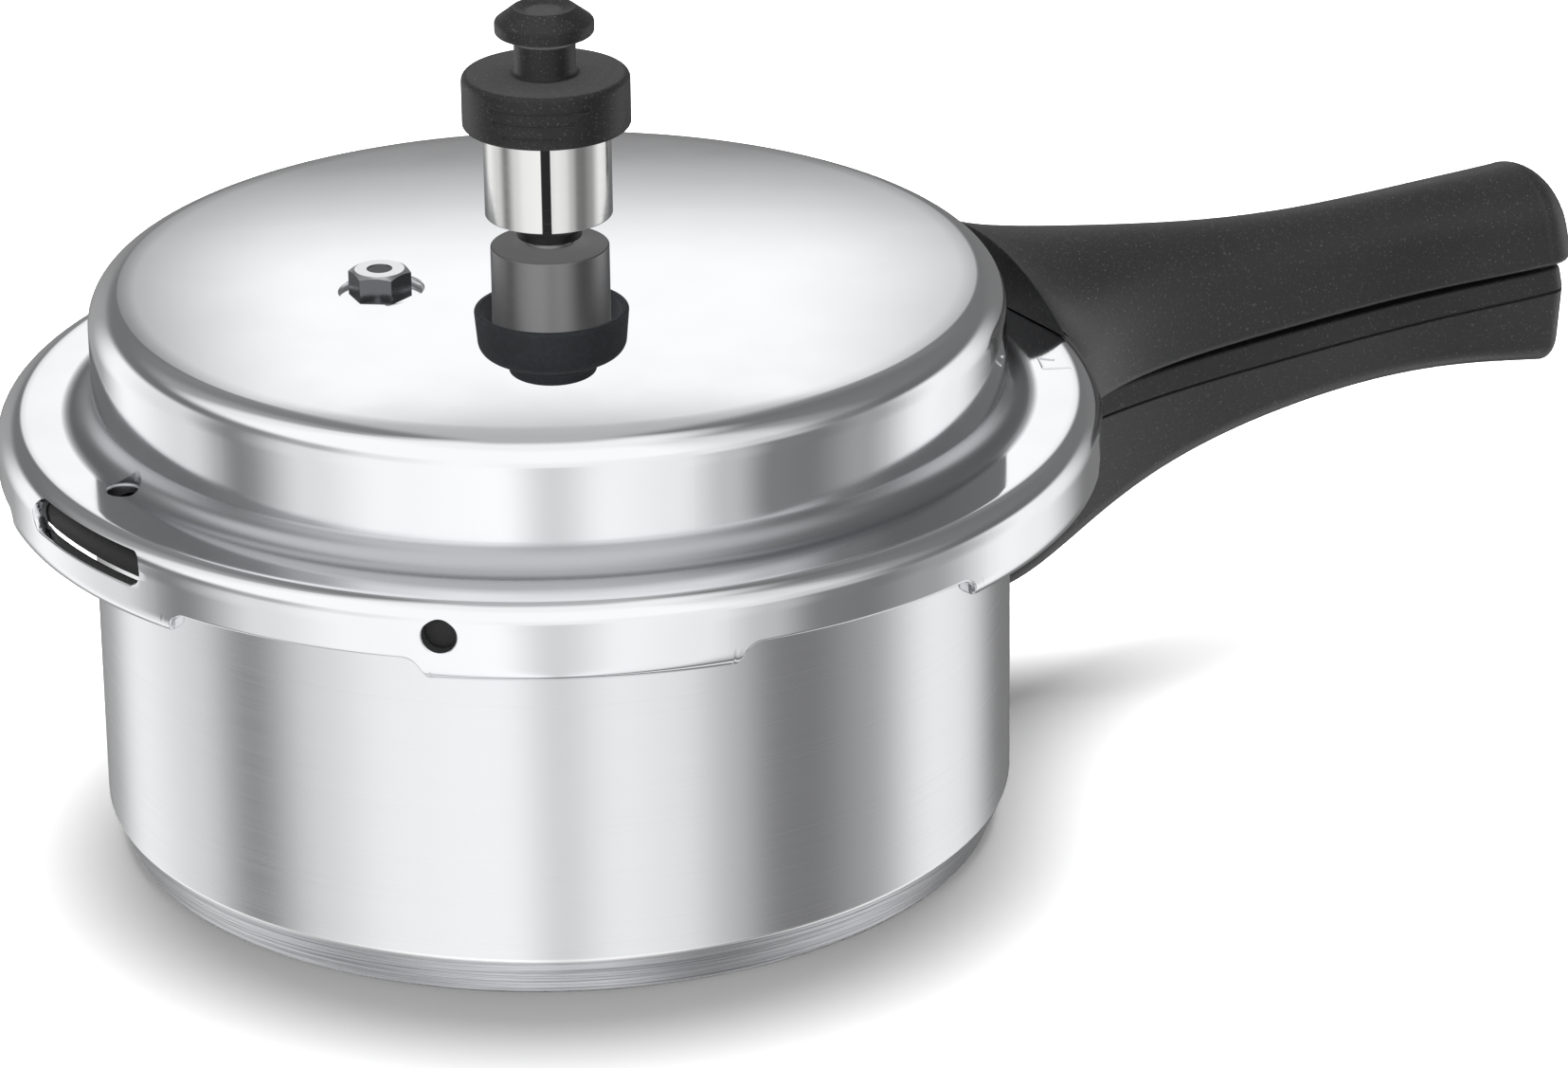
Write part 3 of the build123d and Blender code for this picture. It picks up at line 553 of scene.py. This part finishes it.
def makePlugMetal():
    material, tree = startMaterial("steel with painted light and shade")
    normal = put(tree, "NewGeometry").outputs["True Normal"]
    litTop = put(
        tree, "MapRange", {"From Min": plugFinish["litFrom"], "From Max": plugFinish["litFull"]},
        {"Value": put(tree, "SeparateXYZ", links={"Vector": normal}).outputs["Z"]},
        interpolation_type="SMOOTHSTEP",
    )
    # painted light and shade: upward faces take the pale colour, the sides the dark one
    tone = put(
        tree, "MixRGB",
        {"Color1": hexColor(plugFinish["shadedSideColor"]), "Color2": hexColor(plugFinish["color"])},
        {"Fac": litTop.outputs["Result"]},
    )
    shader = put(
        tree, "BsdfPrincipled", {"Metallic": 1.0, "Roughness": plugFinish["roughness"]},
        {"Base Color": tone.outputs["Color"]},
    )
    endMaterial(tree, shader)
    return material


# Gasket and vent cup: moulded rubber, dull with a fine dusty mottle, drawn coarser than real
rubber = {
    "mottleMm": 1.111, "dustFrom": 0.45, "dustFull": 0.75, "reliefMm": 0.08, "strength": 0.15, "ior": 1.5,
}
rubberKinds = {
    # soft black
    "black moulded rubber": {"color": "#131313", "dustColor": "#1d1d1d", "roughness": 0.6},
    # a little lighter and bluish
    "blue black moulded rubber": {"color": "#15171b", "dustColor": "#22252b", "roughness": 0.62},
}


def makeRubber(name, color, dustColor, roughness):
    material, tree = startMaterial(name)
    place = put(tree, "TexCoord").outputs["Object"]
    mottle = put(
        tree, "TexNoise", {"Scale": 1 / (rubber["mottleMm"] * mm), "Detail": 3.0}, {"Vector": place}
    ).outputs["Fac"]
    dust = put(
        tree, "MapRange", {"From Min": rubber["dustFrom"], "From Max": rubber["dustFull"]}, {"Value": mottle}
    )
    tone = put(
        tree, "MixRGB", {"Color1": hexColor(color), "Color2": hexColor(dustColor)},
        {"Fac": dust.outputs["Result"]},
    )
    bump = put(
        tree, "Bump", {"Strength": rubber["strength"], "Distance": rubber["reliefMm"] * mm},
        {"Height": mottle},
    )
    shader = put(
        tree, "BsdfPrincipled", {"Roughness": roughness, "IOR": rubber["ior"]},
        {"Base Color": tone.outputs["Color"], "Normal": bump.outputs["Normal"]},
    )
    endMaterial(tree, shader)
    return material


# Lid shell: one pressing, drawn again with even quads so that the polish mirrors cleanly. Millimetres.
lid = {
    "crownTop": 116.0, "crownRise": 3.5, "shoulderRound": 6.6, "domeRadius": 89.3, "footRound": 5.0,
    "flangeTop": 88.3, "edgeRound": 5.0, "skirtRadius": 108.0, "skirtEdge": 77.7, "wall": 2.6,
    "lugFoot": 73.0, "hookRound": 3.4, "hookRadius": 101.2, "hookCorner": 1.4,
    "lugCount": 6, "firstLug": 2.2, "lugAngle": 30.5,
    "lugLean": 2.5, "lugInnerRound": 4.0, "lugOuterRound": 0.8, "cutRound": 0.55,
    "slotAngle": 184.0, "slotLength": 38.0, "slotHeight": 6.5, "slotCorner": 3.2, "slotSill": 2.8,
    "sightAngle": -131.8, "sightRadius": 3.25, "sightRise": 4.7,
    "holeAngle": 179.2, "holeInset": 14.8, "holeRadius": 3.0, "rimRound": 0.45, "toolIn": 6.0, "toolOut": 4.0,
    "plugOffset": 35.0, "plugAngle": 173.0, "recessRadius": 8.1, "recessDepth": 0.8,
    "ventOffset": 55.0, "ventAngle": -119.7, "seatRadius": 9.0, "seatProud": 0.2,
    "padRadius": 8.2, "padDepth": 2.5, "padRise": 0.4,  # foot of the vent's cup
}
# Quads along each stretch of the lid's section, and of its cut edge from the middle of a gap to that of a lug
sectionSteps = {
    "crown": 26, "shoulder": 18, "wall": 4, "foot": 14, "flange": 8, "edge": 16, "skirt": 26, "inside": 14,
}
edgeSteps = {"gap": 12, "innerCorner": 9, "lean": 5, "outerCorner": 5, "hookCorner": 5, "lug": 13}
insideStride = 3  # the hidden inside takes every third row of the top
cutTurns = (0, 30, 60, 90)  # round of a cut edge, degrees
rimTurns = (0, 25, 50, 70, 90)  # round of a punched rim, degrees
holeSides, drumSides, recessSides = 40, 48, 56  # of round tools
sharpAngle = 34  # edges steeper than this stay sharp


def crownSphere():
    inner = lid["domeRadius"] - lid["shoulderRound"]
    drop = lid["crownRise"] + lid["shoulderRound"]
    radius = (inner ** 2 + drop ** 2 - lid["shoulderRound"] ** 2) / (2 * lid["crownRise"])
    return radius, lid["crownTop"] - radius


def crownHeight(offset):
    radius, middle = crownSphere()
    return middle + math.sqrt(radius ** 2 - offset ** 2)


def plugSeat():
    return crownHeight(lid["plugOffset"] + lid["recessRadius"]) - lid["recessDepth"]


def ventSeat():
    return crownHeight(lid["ventOffset"] - lid["seatRadius"]) + lid["seatProud"]


def arcRows(centre, radius, start, end, count, hollow=False):  # rows of (place, outward normal)
    rows = []
    for index in range(count + 1):
        out = Vector(polar(1, start + (end - start) * index / count))
        rows.append((Vector(centre) + out * radius, -out if hollow else out))
    return rows


def lidTopRows():  # section from the crown to the top of the skirt
    sphere, middle = crownSphere()
    inner = lid["domeRadius"] - lid["shoulderRound"]
    shoulder = lid["crownTop"] - lid["crownRise"] - lid["shoulderRound"]
    lean = math.degrees(math.atan2(shoulder - middle, inner))
    foot = lid["domeRadius"] + lid["footRound"]
    wallFoot = lid["flangeTop"] + lid["footRound"]
    edge = lid["skirtRadius"] - lid["edgeRound"]
    outward, up = Vector((1, 0)), Vector((0, 1))
    rows = arcRows((0, middle), sphere, 90, lean, sectionSteps["crown"])[1:]
    rows += arcRows((inner, shoulder), lid["shoulderRound"], lean, 0, sectionSteps["shoulder"])[1:]
    for k in range(1, sectionSteps["wall"]):
        level = shoulder + (wallFoot - shoulder) * k / sectionSteps["wall"]
        rows.append((Vector((lid["domeRadius"], level)), outward))
    rows += arcRows((foot, wallFoot), lid["footRound"], 180, 270, sectionSteps["foot"], hollow=True)
    for k in range(1, sectionSteps["flange"]):
        rows.append((Vector((foot + (edge - foot) * k / sectionSteps["flange"], lid["flangeTop"])), up))
    rows += arcRows(
        (edge, lid["flangeTop"] - lid["edgeRound"]), lid["edgeRound"], 90, 0, sectionSteps["edge"]
    )
    return rows


def skirtRuns():  # lengths of the straight skirt, of its bend and of the hook
    straight = lid["flangeTop"] - lid["edgeRound"] - lid["lugFoot"] - lid["hookRound"]
    bend = lid["hookRound"] * math.pi / 2
    hook = lid["skirtRadius"] - lid["hookRound"] - lid["hookRadius"]
    return straight, bend, hook


def skirtRow(run):  # place, normal and direction at a run down the skirt, round its bend and along the hook
    straight, bend, hook = skirtRuns()
    if run <= straight:
        place = Vector((lid["skirtRadius"], lid["flangeTop"] - lid["edgeRound"] - run))
        return place, Vector((1, 0)), Vector((0, -1))
    middle = Vector((lid["skirtRadius"] - lid["hookRound"], lid["lugFoot"] + lid["hookRound"]))
    turn = min((run - straight) / lid["hookRound"], math.pi / 2)
    out = Vector((math.cos(turn), -math.sin(turn)))
    along = Vector((-math.sin(turn), -math.cos(turn)))
    return middle + out * lid["hookRound"] + along * max(0, run - straight - bend), out, along


def cornerArc(before, corner, after, radius, count):  # round at a corner of a flat outline
    back, ahead = (before - corner).normalized(), (after - corner).normalized()
    half = back.angle(ahead) / 2
    centre = corner + (back + ahead).normalized() * radius / math.sin(half)
    start = corner + back * radius / math.tan(half) - centre
    end = corner + ahead * radius / math.tan(half) - centre
    return [centre + start.slerp(end, k / count).normalized() * radius for k in range(count + 1)]


def lidColumns():  # (angle, run of the cut edge) for half a gap and half a lug, mirrored and repeated
    outer = lid["skirtRadius"]
    halfPitch = math.pi / lid["lugCount"]
    gap = outer * math.sin(halfPitch - math.radians(lid["lugAngle"]) / 2)
    top = lid["flangeTop"] - lid["edgeRound"]
    straight, bend, hook = skirtRuns()
    full = straight + bend + hook
    upper = Vector((gap - lid["lugLean"], lid["skirtEdge"]))
    lower = Vector((gap, lid["lugFoot"]))
    outline = cornerArc(
        Vector((0, lid["skirtEdge"])), upper, lower, lid["lugInnerRound"], edgeSteps["innerCorner"]
    )
    outline += [outline[-1].lerp(lower, k / edgeSteps["lean"]) for k in (1, 2, 3)]
    outline += cornerArc(
        upper, lower, Vector((2 * gap, lid["lugFoot"])), lid["lugOuterRound"], edgeSteps["outerCorner"]
    )
    steps = edgeSteps["gap"]
    half = [(math.asin(outline[0].x * k / steps / outer), top - lid["skirtEdge"]) for k in range(steps)]
    for spot in outline:
        below = lid["lugFoot"] + lid["hookRound"] - spot.y
        run = top - spot.y
        if below > 0:
            run = straight + lid["hookRound"] * math.asin(min(1, below / lid["hookRound"]))
        half.append((math.asin(spot.x / outer), run))
    steps = edgeSteps["hookCorner"]
    for k in range(1, steps + 1):
        grow = math.sqrt(1 - (1 - k / steps) ** 2)
        reach = outline[-1].x + lid["hookCorner"] * k / steps
        half.append((math.asin(reach / outer), straight + bend + hook * grow))
    reached = half[-1][0]
    steps = edgeSteps["lug"]
    half += [(reached + (halfPitch - reached) * k / steps, full) for k in range(1, steps)]
    period = [(-angle, run) for angle, run in reversed(half[1:])] + half + [(halfPitch, full)]
    columns = []
    for index in range(lid["lugCount"]):
        middle = math.radians(lid["firstLug"]) + (2 * index + 1) * halfPitch
        columns += [(middle + angle, run) for angle, run in period]
    return columns


def lidSection(run, top):  # closed section for one column, from the outer pole to the inner one
    wall, cut = lid["wall"], lid["cutRound"]
    section = [place for place, out in top]
    steps = sectionSteps["skirt"]
    section += [skirtRow((run - cut) * k / steps)[0] for k in range(1, steps + 1)]
    end, out, along = skirtRow(run)
    turns = [polar(cut, degrees) for degrees in cutTurns]
    section += [end - along * (cut - high) - out * (cut - wide) for wide, high in turns[1:]]
    section += [end - along * (cut - high) - out * (wall - cut + wide) for wide, high in reversed(turns)]
    steps = sectionSteps["inside"]
    for k in reversed(range(steps)):
        place, out, along = skirtRow((run - cut) * k / steps)
        section.append(place - out * wall)
    section += [place - out * wall for place, out in top[-insideStride::-insideStride]]
    return section


def meshObject(name, vertices, faces):
    mesh = bpy.data.meshes.new(name)
    mesh.from_pydata([tuple(c * mm for c in v) for v in vertices], [], faces)
    mesh.validate()
    piece = bpy.data.objects.new(name, mesh)
    bpy.context.scene.collection.objects.link(piece)
    return piece


def makeLidMesh():
    columns = lidColumns()
    top = lidTopRows()
    vertices = []
    for angle, run in columns:
        for spot in lidSection(run, top):
            vertices.append((spot.x * math.cos(angle), spot.x * math.sin(angle), spot.y))
    rows = len(vertices) // len(columns)
    outerPole = len(vertices)
    innerPole = outerPole + 1
    vertices += [(0, 0, lid["crownTop"]), (0, 0, lid["crownTop"] - lid["wall"])]
    faces = []
    for i in range(len(columns)):
        here, after = i * rows, (i + 1) % len(columns) * rows
        faces += [(here + k, here + k + 1, after + k + 1, after + k) for k in range(rows - 1)]
        faces.append((outerPole, here, after))
        faces.append((innerPole, after + rows - 1, here + rows - 1))
    return meshObject("lid_pressing", vertices, faces)


def loopCutter(name, loops):  # closed piece through equal loops of points
    count = len(loops[0])
    vertices = [v for loop in loops for v in loop]
    faces = [tuple(range(count))[::-1], tuple(range((len(loops) - 1) * count, len(loops) * count))]
    for level in range(len(loops) - 1):
        for k in range(count):
            a, b = level * count + k, level * count + (k + 1) % count
            faces.append((a, b, b + count, a + count))
    return meshObject(name, vertices, faces)


def ring(radius, count):
    return [polar(radius, 360 * k / count) for k in range(count)]


def drum(name, middle, stations, sides=drumSides):  # upright round piece through (radius, height) stations
    x0, y0 = middle
    loops = [[(x0 + x, y0 + y, z) for x, y in ring(radius, sides)] for radius, z in stations]
    return loopCutter(name, loops)


def rimSteps(surface, low, high):  # (depth, flare) stations that roll the rim of a cut at a surface
    radius = lid["rimRound"]
    turns = [polar(radius, degrees) for degrees in rimTurns]
    rolled = [(surface - radius + rise, radius - reach) for reach, rise in turns]
    return [(low, 0)] + rolled + [(high, radius)]


def slotOutline(flare):
    cornerSteps, sideSteps = 8, 14
    outline = []
    x, z = lid["slotLength"] / 2 - lid["slotCorner"], lid["slotHeight"] / 2 - lid["slotCorner"]
    reach = lid["slotCorner"] + flare
    for sideX, sideZ, start in ((1, 1, 0), (-1, 1, 90), (-1, -1, 180), (1, -1, 270)):
        for k in range(cornerSteps + 1):
            across, up = polar(reach, start + 90 * k / cornerSteps)
            outline.append((sideX * x + across, sideZ * z + up))
        if sideX == sideZ:
            level = sideZ * (z + reach)
            outline += [(sideZ * x * (1 - 2 * k / sideSteps), level) for k in range(1, sideSteps)]
    return outline


def sightOutline(flare):
    return ring(lid["sightRadius"] + flare, holeSides)


def lidCutters():
    outer, edge, flange = lid["skirtRadius"], lid["skirtEdge"], lid["flangeTop"]
    tools = []
    skirtCuts = (
        ("slot tool", lid["slotAngle"], edge + lid["slotSill"] + lid["slotHeight"] / 2, slotOutline),
        ("sight tool", lid["sightAngle"], edge + lid["sightRise"], sightOutline),
    )
    for name, degrees, level, outline in skirtCuts:
        loops = []
        for depth, flare in rimSteps(outer, outer - lid["toolIn"], outer + lid["toolOut"]):
            turns = [(degrees + math.degrees(across / outer), level + up) for across, up in outline(flare)]
            loops.append([(*polar(depth, turn), z) for turn, z in turns])
        tools.append(loopCutter(name, loops))
    hole = rimSteps(flange, flange - lid["toolIn"], flange + lid["toolOut"])
    tools.append(drum(
        "flange tool", polar(outer - lid["holeInset"], lid["holeAngle"]),
        [(lid["holeRadius"] + flare, depth) for depth, flare in hole], holeSides,
    ))
    recess = rimSteps(crownHeight(lid["plugOffset"]), plugSeat(), lid["crownTop"] + lid["toolOut"])
    tools.append(drum(
        "recess tool", polar(lid["plugOffset"], lid["plugAngle"]),
        [(lid["recessRadius"] + flare, depth) for depth, flare in recess], recessSides,
    ))
    return tools


def machine(piece, steps):  # boolean steps of (tool, operation)
    for tool, operation in steps:
        cut = piece.modifiers.new(tool.name, "BOOLEAN")
        cut.operation = operation
        cut.solver = "EXACT"
        cut.object = tool
    bpy.context.view_layer.update()
    finished = bpy.data.meshes.new_from_object(piece.evaluated_get(bpy.context.evaluated_depsgraph_get()))
    piece.modifiers.clear()
    piece.data = finished
    for tool, operation in steps:
        bpy.data.objects.remove(tool)


def dressPiece(piece, material, body, sharpFrom=sharpAngle):
    for face in piece.data.polygons:
        face.use_smooth = True
    piece.data.set_sharp_from_angle(angle=math.radians(sharpFrom))
    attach(piece, body)
    paint(piece, material)


def makeLid(material, footMaterial):
    piece = makeLidMesh()
    machine(piece, [(tool, "DIFFERENCE") for tool in lidCutters()])
    dressPiece(piece, material, "lid")
    low, high = ventSeat() - lid["padDepth"], ventSeat() + lid["padRise"]
    middle = polar(lid["ventOffset"], lid["ventAngle"])
    foot = drum("cup_foot", middle, [(lid["padRadius"], low), (lid["padRadius"], high)])
    foot.visible_glossy = False
    dressPiece(foot, footMaterial, "lid")
    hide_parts("lid_shell")
    print("lid pressed:", len(piece.data.polygons), "faces")


# Safety plug: hexagon bar with a turned chamfer, a stud below and a bore for the alloy. Millimetres.
plug = {
    "flatRadius": 5.3, "height": 5.4, "chamfer": 0.5, "chamferFall": 0.5, "boreRadius": 2.5,
    "studRadius": 4.0, "studLength": 9.6, "faceAngle": -128.5, "sharpAngle": 15, "overlap": 1.0,
}


def makePlug(material):
    middle = polar(lid["plugOffset"], lid["plugAngle"])
    seat, over = plugSeat(), plug["overlap"]
    top, foot = seat + plug["height"], seat - plug["studLength"]
    corner = plug["flatRadius"] / math.cos(math.pi / 6)
    corners = [polar(corner, plug["faceAngle"] + 30 + 60 * k) for k in range(6)]
    piece = loopCutter("plug_hexagon", [
        [(middle[0] + x, middle[1] + y, z) for x, y in corners] for z in (seat, top + over)
    ])
    wide = plug["flatRadius"] + plug["height"]
    face = plug["flatRadius"] - plug["chamfer"]
    shoulder = top - (wide - face) * plug["chamferFall"]
    stud, bore = plug["studRadius"], plug["boreRadius"]
    machine(piece, [
        (drum("chamfer tool", middle, [(wide, seat - over), (wide, shoulder), (face, top)]), "INTERSECT"),
        (drum("stud tool", middle, [(stud, foot), (stud, seat + over)]), "UNION"),
        (drum("bore tool", middle, [(bore, foot - over), (bore, top + 2 * over)]), "DIFFERENCE"),
    ])
    dressPiece(piece, material, "lid", plug["sharpAngle"])
    piece.visible_glossy = False
    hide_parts("safety_plug")
    print("plug machined:", len(piece.data.polygons), "faces")


# Vent and weight: turned round the vent's axis, (radius, height above the lid's seat, round) at each corner
weight = {
    "sleeveRadius": 11.85, "sleeveBore": 10.55, "slitAngle": -122.5, "slitWidth": 1.8,
    "collarRadius": 15.6, "collarFront": -120.4, "grooveWidth": 0.55, "grooveDepth": 0.5, "toolProud": 1.0,
}
ventCorners = [
    (1.4, -11.0, 0), (4.0, -11.0, 0.5), (4.0, 4.5, 0), (11.05, 4.5, 0.5), (11.05, 23.8, 0.3),
    (4.3, 24.5, 0.4), (4.3, 31.4, 0), (2.4, 33.0, 0), (1.4, 33.0, 0),
]
ventRingCorners = [
    (4.0, 25.6, 0), (6.05, 25.6, 0.3), (6.05, 27.2, 0.3), (4.8, 27.4, 0), (4.8, 28.0, 0),
    (6.05, 28.2, 0.3), (6.05, 29.4, 0.3), (4.6, 29.6, 0), (4.6, 32.6, 0), (4.0, 32.6, 0),
]
sleeveCorners = [
    (weight["sleeveBore"], 30.0, 0.2), (weight["sleeveRadius"], 30.0, 0.3),
    (weight["sleeveRadius"], 51.0, 0), (weight["sleeveBore"], 51.0, 0),
]
capCorners = [
    (0, 51.0, 0), (11.95, 51.0, 0), (11.95, 47.4, 0), (weight["collarRadius"], 47.4, 0.6),
    (weight["collarRadius"], 57.3, 1.2), (5.7, 57.4, 0.9), (5.7, 63.5, 0.5), (9.2, 65.2, 0.8),
    (9.2, 67.4, 0.8), (5.7, 70.1, 0.4), (3.4, 69.3, 2.0), (0, 69.1, 0),
]
# Grooves round the collar: height above the lid's seat, first and last degree from the collar's front
collarGrooves = [(54.2, -41, 32), (52.0, -39, 20), (49.5, -31, 8)]
turnStep, fewestTurns = 3.75, 6  # degrees between the sections of a turned piece, and the fewest of them
roundSteps = 6  # along each round of a turned outline
weldGap = 1e-6  # metres


def roundedOutline(corners):
    spots = [Vector(corner[:2]) for corner in corners]
    points = []
    for k, (radius, height, rounding) in enumerate(corners):
        if rounding:
            points += cornerArc(spots[k - 1], spots[k], spots[(k + 1) % len(spots)], rounding, roundSteps)
        else:
            points.append(spots[k])
    return points


def turnedPiece(name, corners, first=0.0, last=360.0):  # closed outline swept round the vent's axis
    outline = roundedOutline(corners)
    x0, y0 = polar(lid["ventOffset"], lid["ventAngle"])
    seat = ventSeat()
    steps = max(fewestTurns, round((last - first) / turnStep))
    vertices = []
    for step in range(steps + 1):
        across, along = polar(1, first + (last - first) * step / steps)
        vertices += [(x0 + p.x * across, y0 + p.x * along, seat + p.y) for p in outline]
    count = len(outline)
    faces = []
    for step in range(steps):
        for k in range(count):
            here, ahead = step * count + k, step * count + (k + 1) % count
            faces.append((here, here + count, ahead + count, ahead))
    if last - first < 360:
        faces += [tuple(range(count)), tuple(range(steps * count, (steps + 1) * count))[::-1]]
    piece = meshObject(name, vertices, faces)
    shape = bmesh.new()
    shape.from_mesh(piece.data)
    bmesh.ops.remove_doubles(shape, verts=shape.verts, dist=weldGap)
    bmesh.ops.recalc_face_normals(shape, faces=shape.faces)
    shape.to_mesh(piece.data)
    shape.free()
    return piece


def collarTools():
    inner = weight["collarRadius"] - weight["grooveDepth"]
    outer = weight["collarRadius"] + weight["toolProud"]
    tools = []
    for height, first, last in collarGrooves:
        low, high = height - weight["grooveWidth"] / 2, height + weight["grooveWidth"] / 2
        section = [(inner, low, 0), (outer, low, 0), (outer, high, 0), (inner, high, 0)]
        front = weight["collarFront"]
        tools.append(turnedPiece("collar tool", section, front + first, front + last))
    return tools


def makeVentAndWeight():
    vent = turnedPiece("vent_turning", ventCorners)
    dressPiece(vent, ventSteel, "lid")
    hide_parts("vent_body")
    # painted shade: the rings take the near-black steel for the shade under the sleeve
    rings = turnedPiece("vent_rings", ventRingCorners)
    dressPiece(rings, blackSteelAndShade, "lid")
    half = math.degrees(weight["slitWidth"] / 2 / weight["sleeveRadius"])
    slit = weight["slitAngle"]
    sleeve = turnedPiece("sleeve_tube", sleeveCorners, slit + half, slit + 360 - half)
    dressPiece(sleeve, sleeveSteel, "weight")
    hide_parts("weight_sleeve")
    cap = turnedPiece("cap_moulding", capCorners)
    machine(cap, [(tool, "DIFFERENCE") for tool in collarTools()])
    dressPiece(cap, capPhenolic, "weight")
    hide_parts("weight_cap")
    for piece in (vent, rings, sleeve, cap):
        piece.visible_glossy = False
    print("vent and weight turned")


# Mark embossed on the flange beside the handle: polar places of its bends (radius, degrees)
flangeMark = {
    "bends": [(99.9, -25.1), (97.0, -24.3), (97.1, -27.6), (102.8, -27.5)],
    "width": 0.7, "sink": 0.1,
}


def makeFlangeMark(material):
    data = bpy.data.curves.new("flange_mark", "CURVE")
    data.dimensions = "3D"
    data.bevel_depth = flangeMark["width"] / 2 * mm
    data.bevel_resolution = 3
    data.use_fill_caps = True
    line = data.splines.new("POLY")
    line.points.add(len(flangeMark["bends"]) - 1)
    level = (lid["flangeTop"] - flangeMark["sink"]) * mm
    for point, (radius, degrees) in zip(line.points, flangeMark["bends"]):
        point.co = (*polar(radius * mm, degrees), level, 1)
    curve = bpy.data.objects.new("flange_mark", data)
    bpy.context.scene.collection.objects.link(curve)
    bpy.context.view_layer.update()
    mesh = bpy.data.meshes.new_from_object(curve.evaluated_get(bpy.context.evaluated_depsgraph_get()))
    bpy.data.objects.remove(curve)
    piece = bpy.data.objects.new("flange_mark", mesh)
    bpy.context.scene.collection.objects.link(piece)
    dressPiece(piece, material, "lid")


potMetal = makePotMetal()
lidMetal = makeLidMetal()
handlePhenolic, capPhenolic = (makePhenolic(name, **kind) for name, kind in phenolicKinds.items())
plainSteel, blackSteelAndShade, ventSteel, sleeveSteel, alloy = (
    makeTurnedMetal(name, **kind) for name, kind in turnedKinds.items()
)
plugSteel = makePlugMetal()
gasketRubber, cupRubber = (makeRubber(name, **kind) for name, kind in rubberKinds.items())
print("materials made")

finishes = {
    "pot_body": (potMetal, "pot_aluminium"),
    "pot_handle": (handlePhenolic, "handle_phenolic"),
    "pot_handle_bracket": (plainSteel, "steel"),
    "pot_bracket_rivets": (plainSteel, "rivet_aluminium"),
    "pot_handle_screws": (plainSteel, "steel"),
    "gasket": (gasketRubber, "gasket_rubber"),
    "lid_handle": (handlePhenolic, "handle_phenolic"),
    "lid_handle_bracket": (plainSteel, "steel"),
    "lid_bracket_rivets": (plainSteel, "rivet_aluminium"),
    "lid_handle_screws": (plainSteel, "steel"),
    "vent_body": (ventSteel, "vent_steel"),
    "vent_cup": (cupRubber, "cup_rubber"),
    "vent_washer": (plainSteel, "steel"),
    "vent_nut": (plainSteel, "steel"),
    "safety_plug": (plugSteel, "plug_chrome"),
    "safety_plug_alloy": (alloy, "fusible_alloy"),
    "safety_plug_washer": (plainSteel, "steel"),
    "safety_plug_nut": (plainSteel, "steel"),
    "weight_sleeve": (sleeveSteel, "polished_steel"),
    "weight_core": (blackSteelAndShade, "steel"),
    "weight_cap": (capPhenolic, "cap_phenolic"),
}
unmirrored = ("vent_", "weight_", "safety_plug")  # small pieces that the crown's polish doesn't show
for nodeName, (material, slotName) in finishes.items():
    paint(nodes[nodeName], material)
    nodes[nodeName].visible_glossy = not nodeName.startswith(unmirrored)
print("nodes dressed")

makeLid(lidMetal, cupRubber)
makePlug(plugSteel)
makeVentAndWeight()
makeFlangeMark(lidMetal)

bpy.context.scene.view_settings.view_transform = "Standard"
bpy.context.view_layer.update()
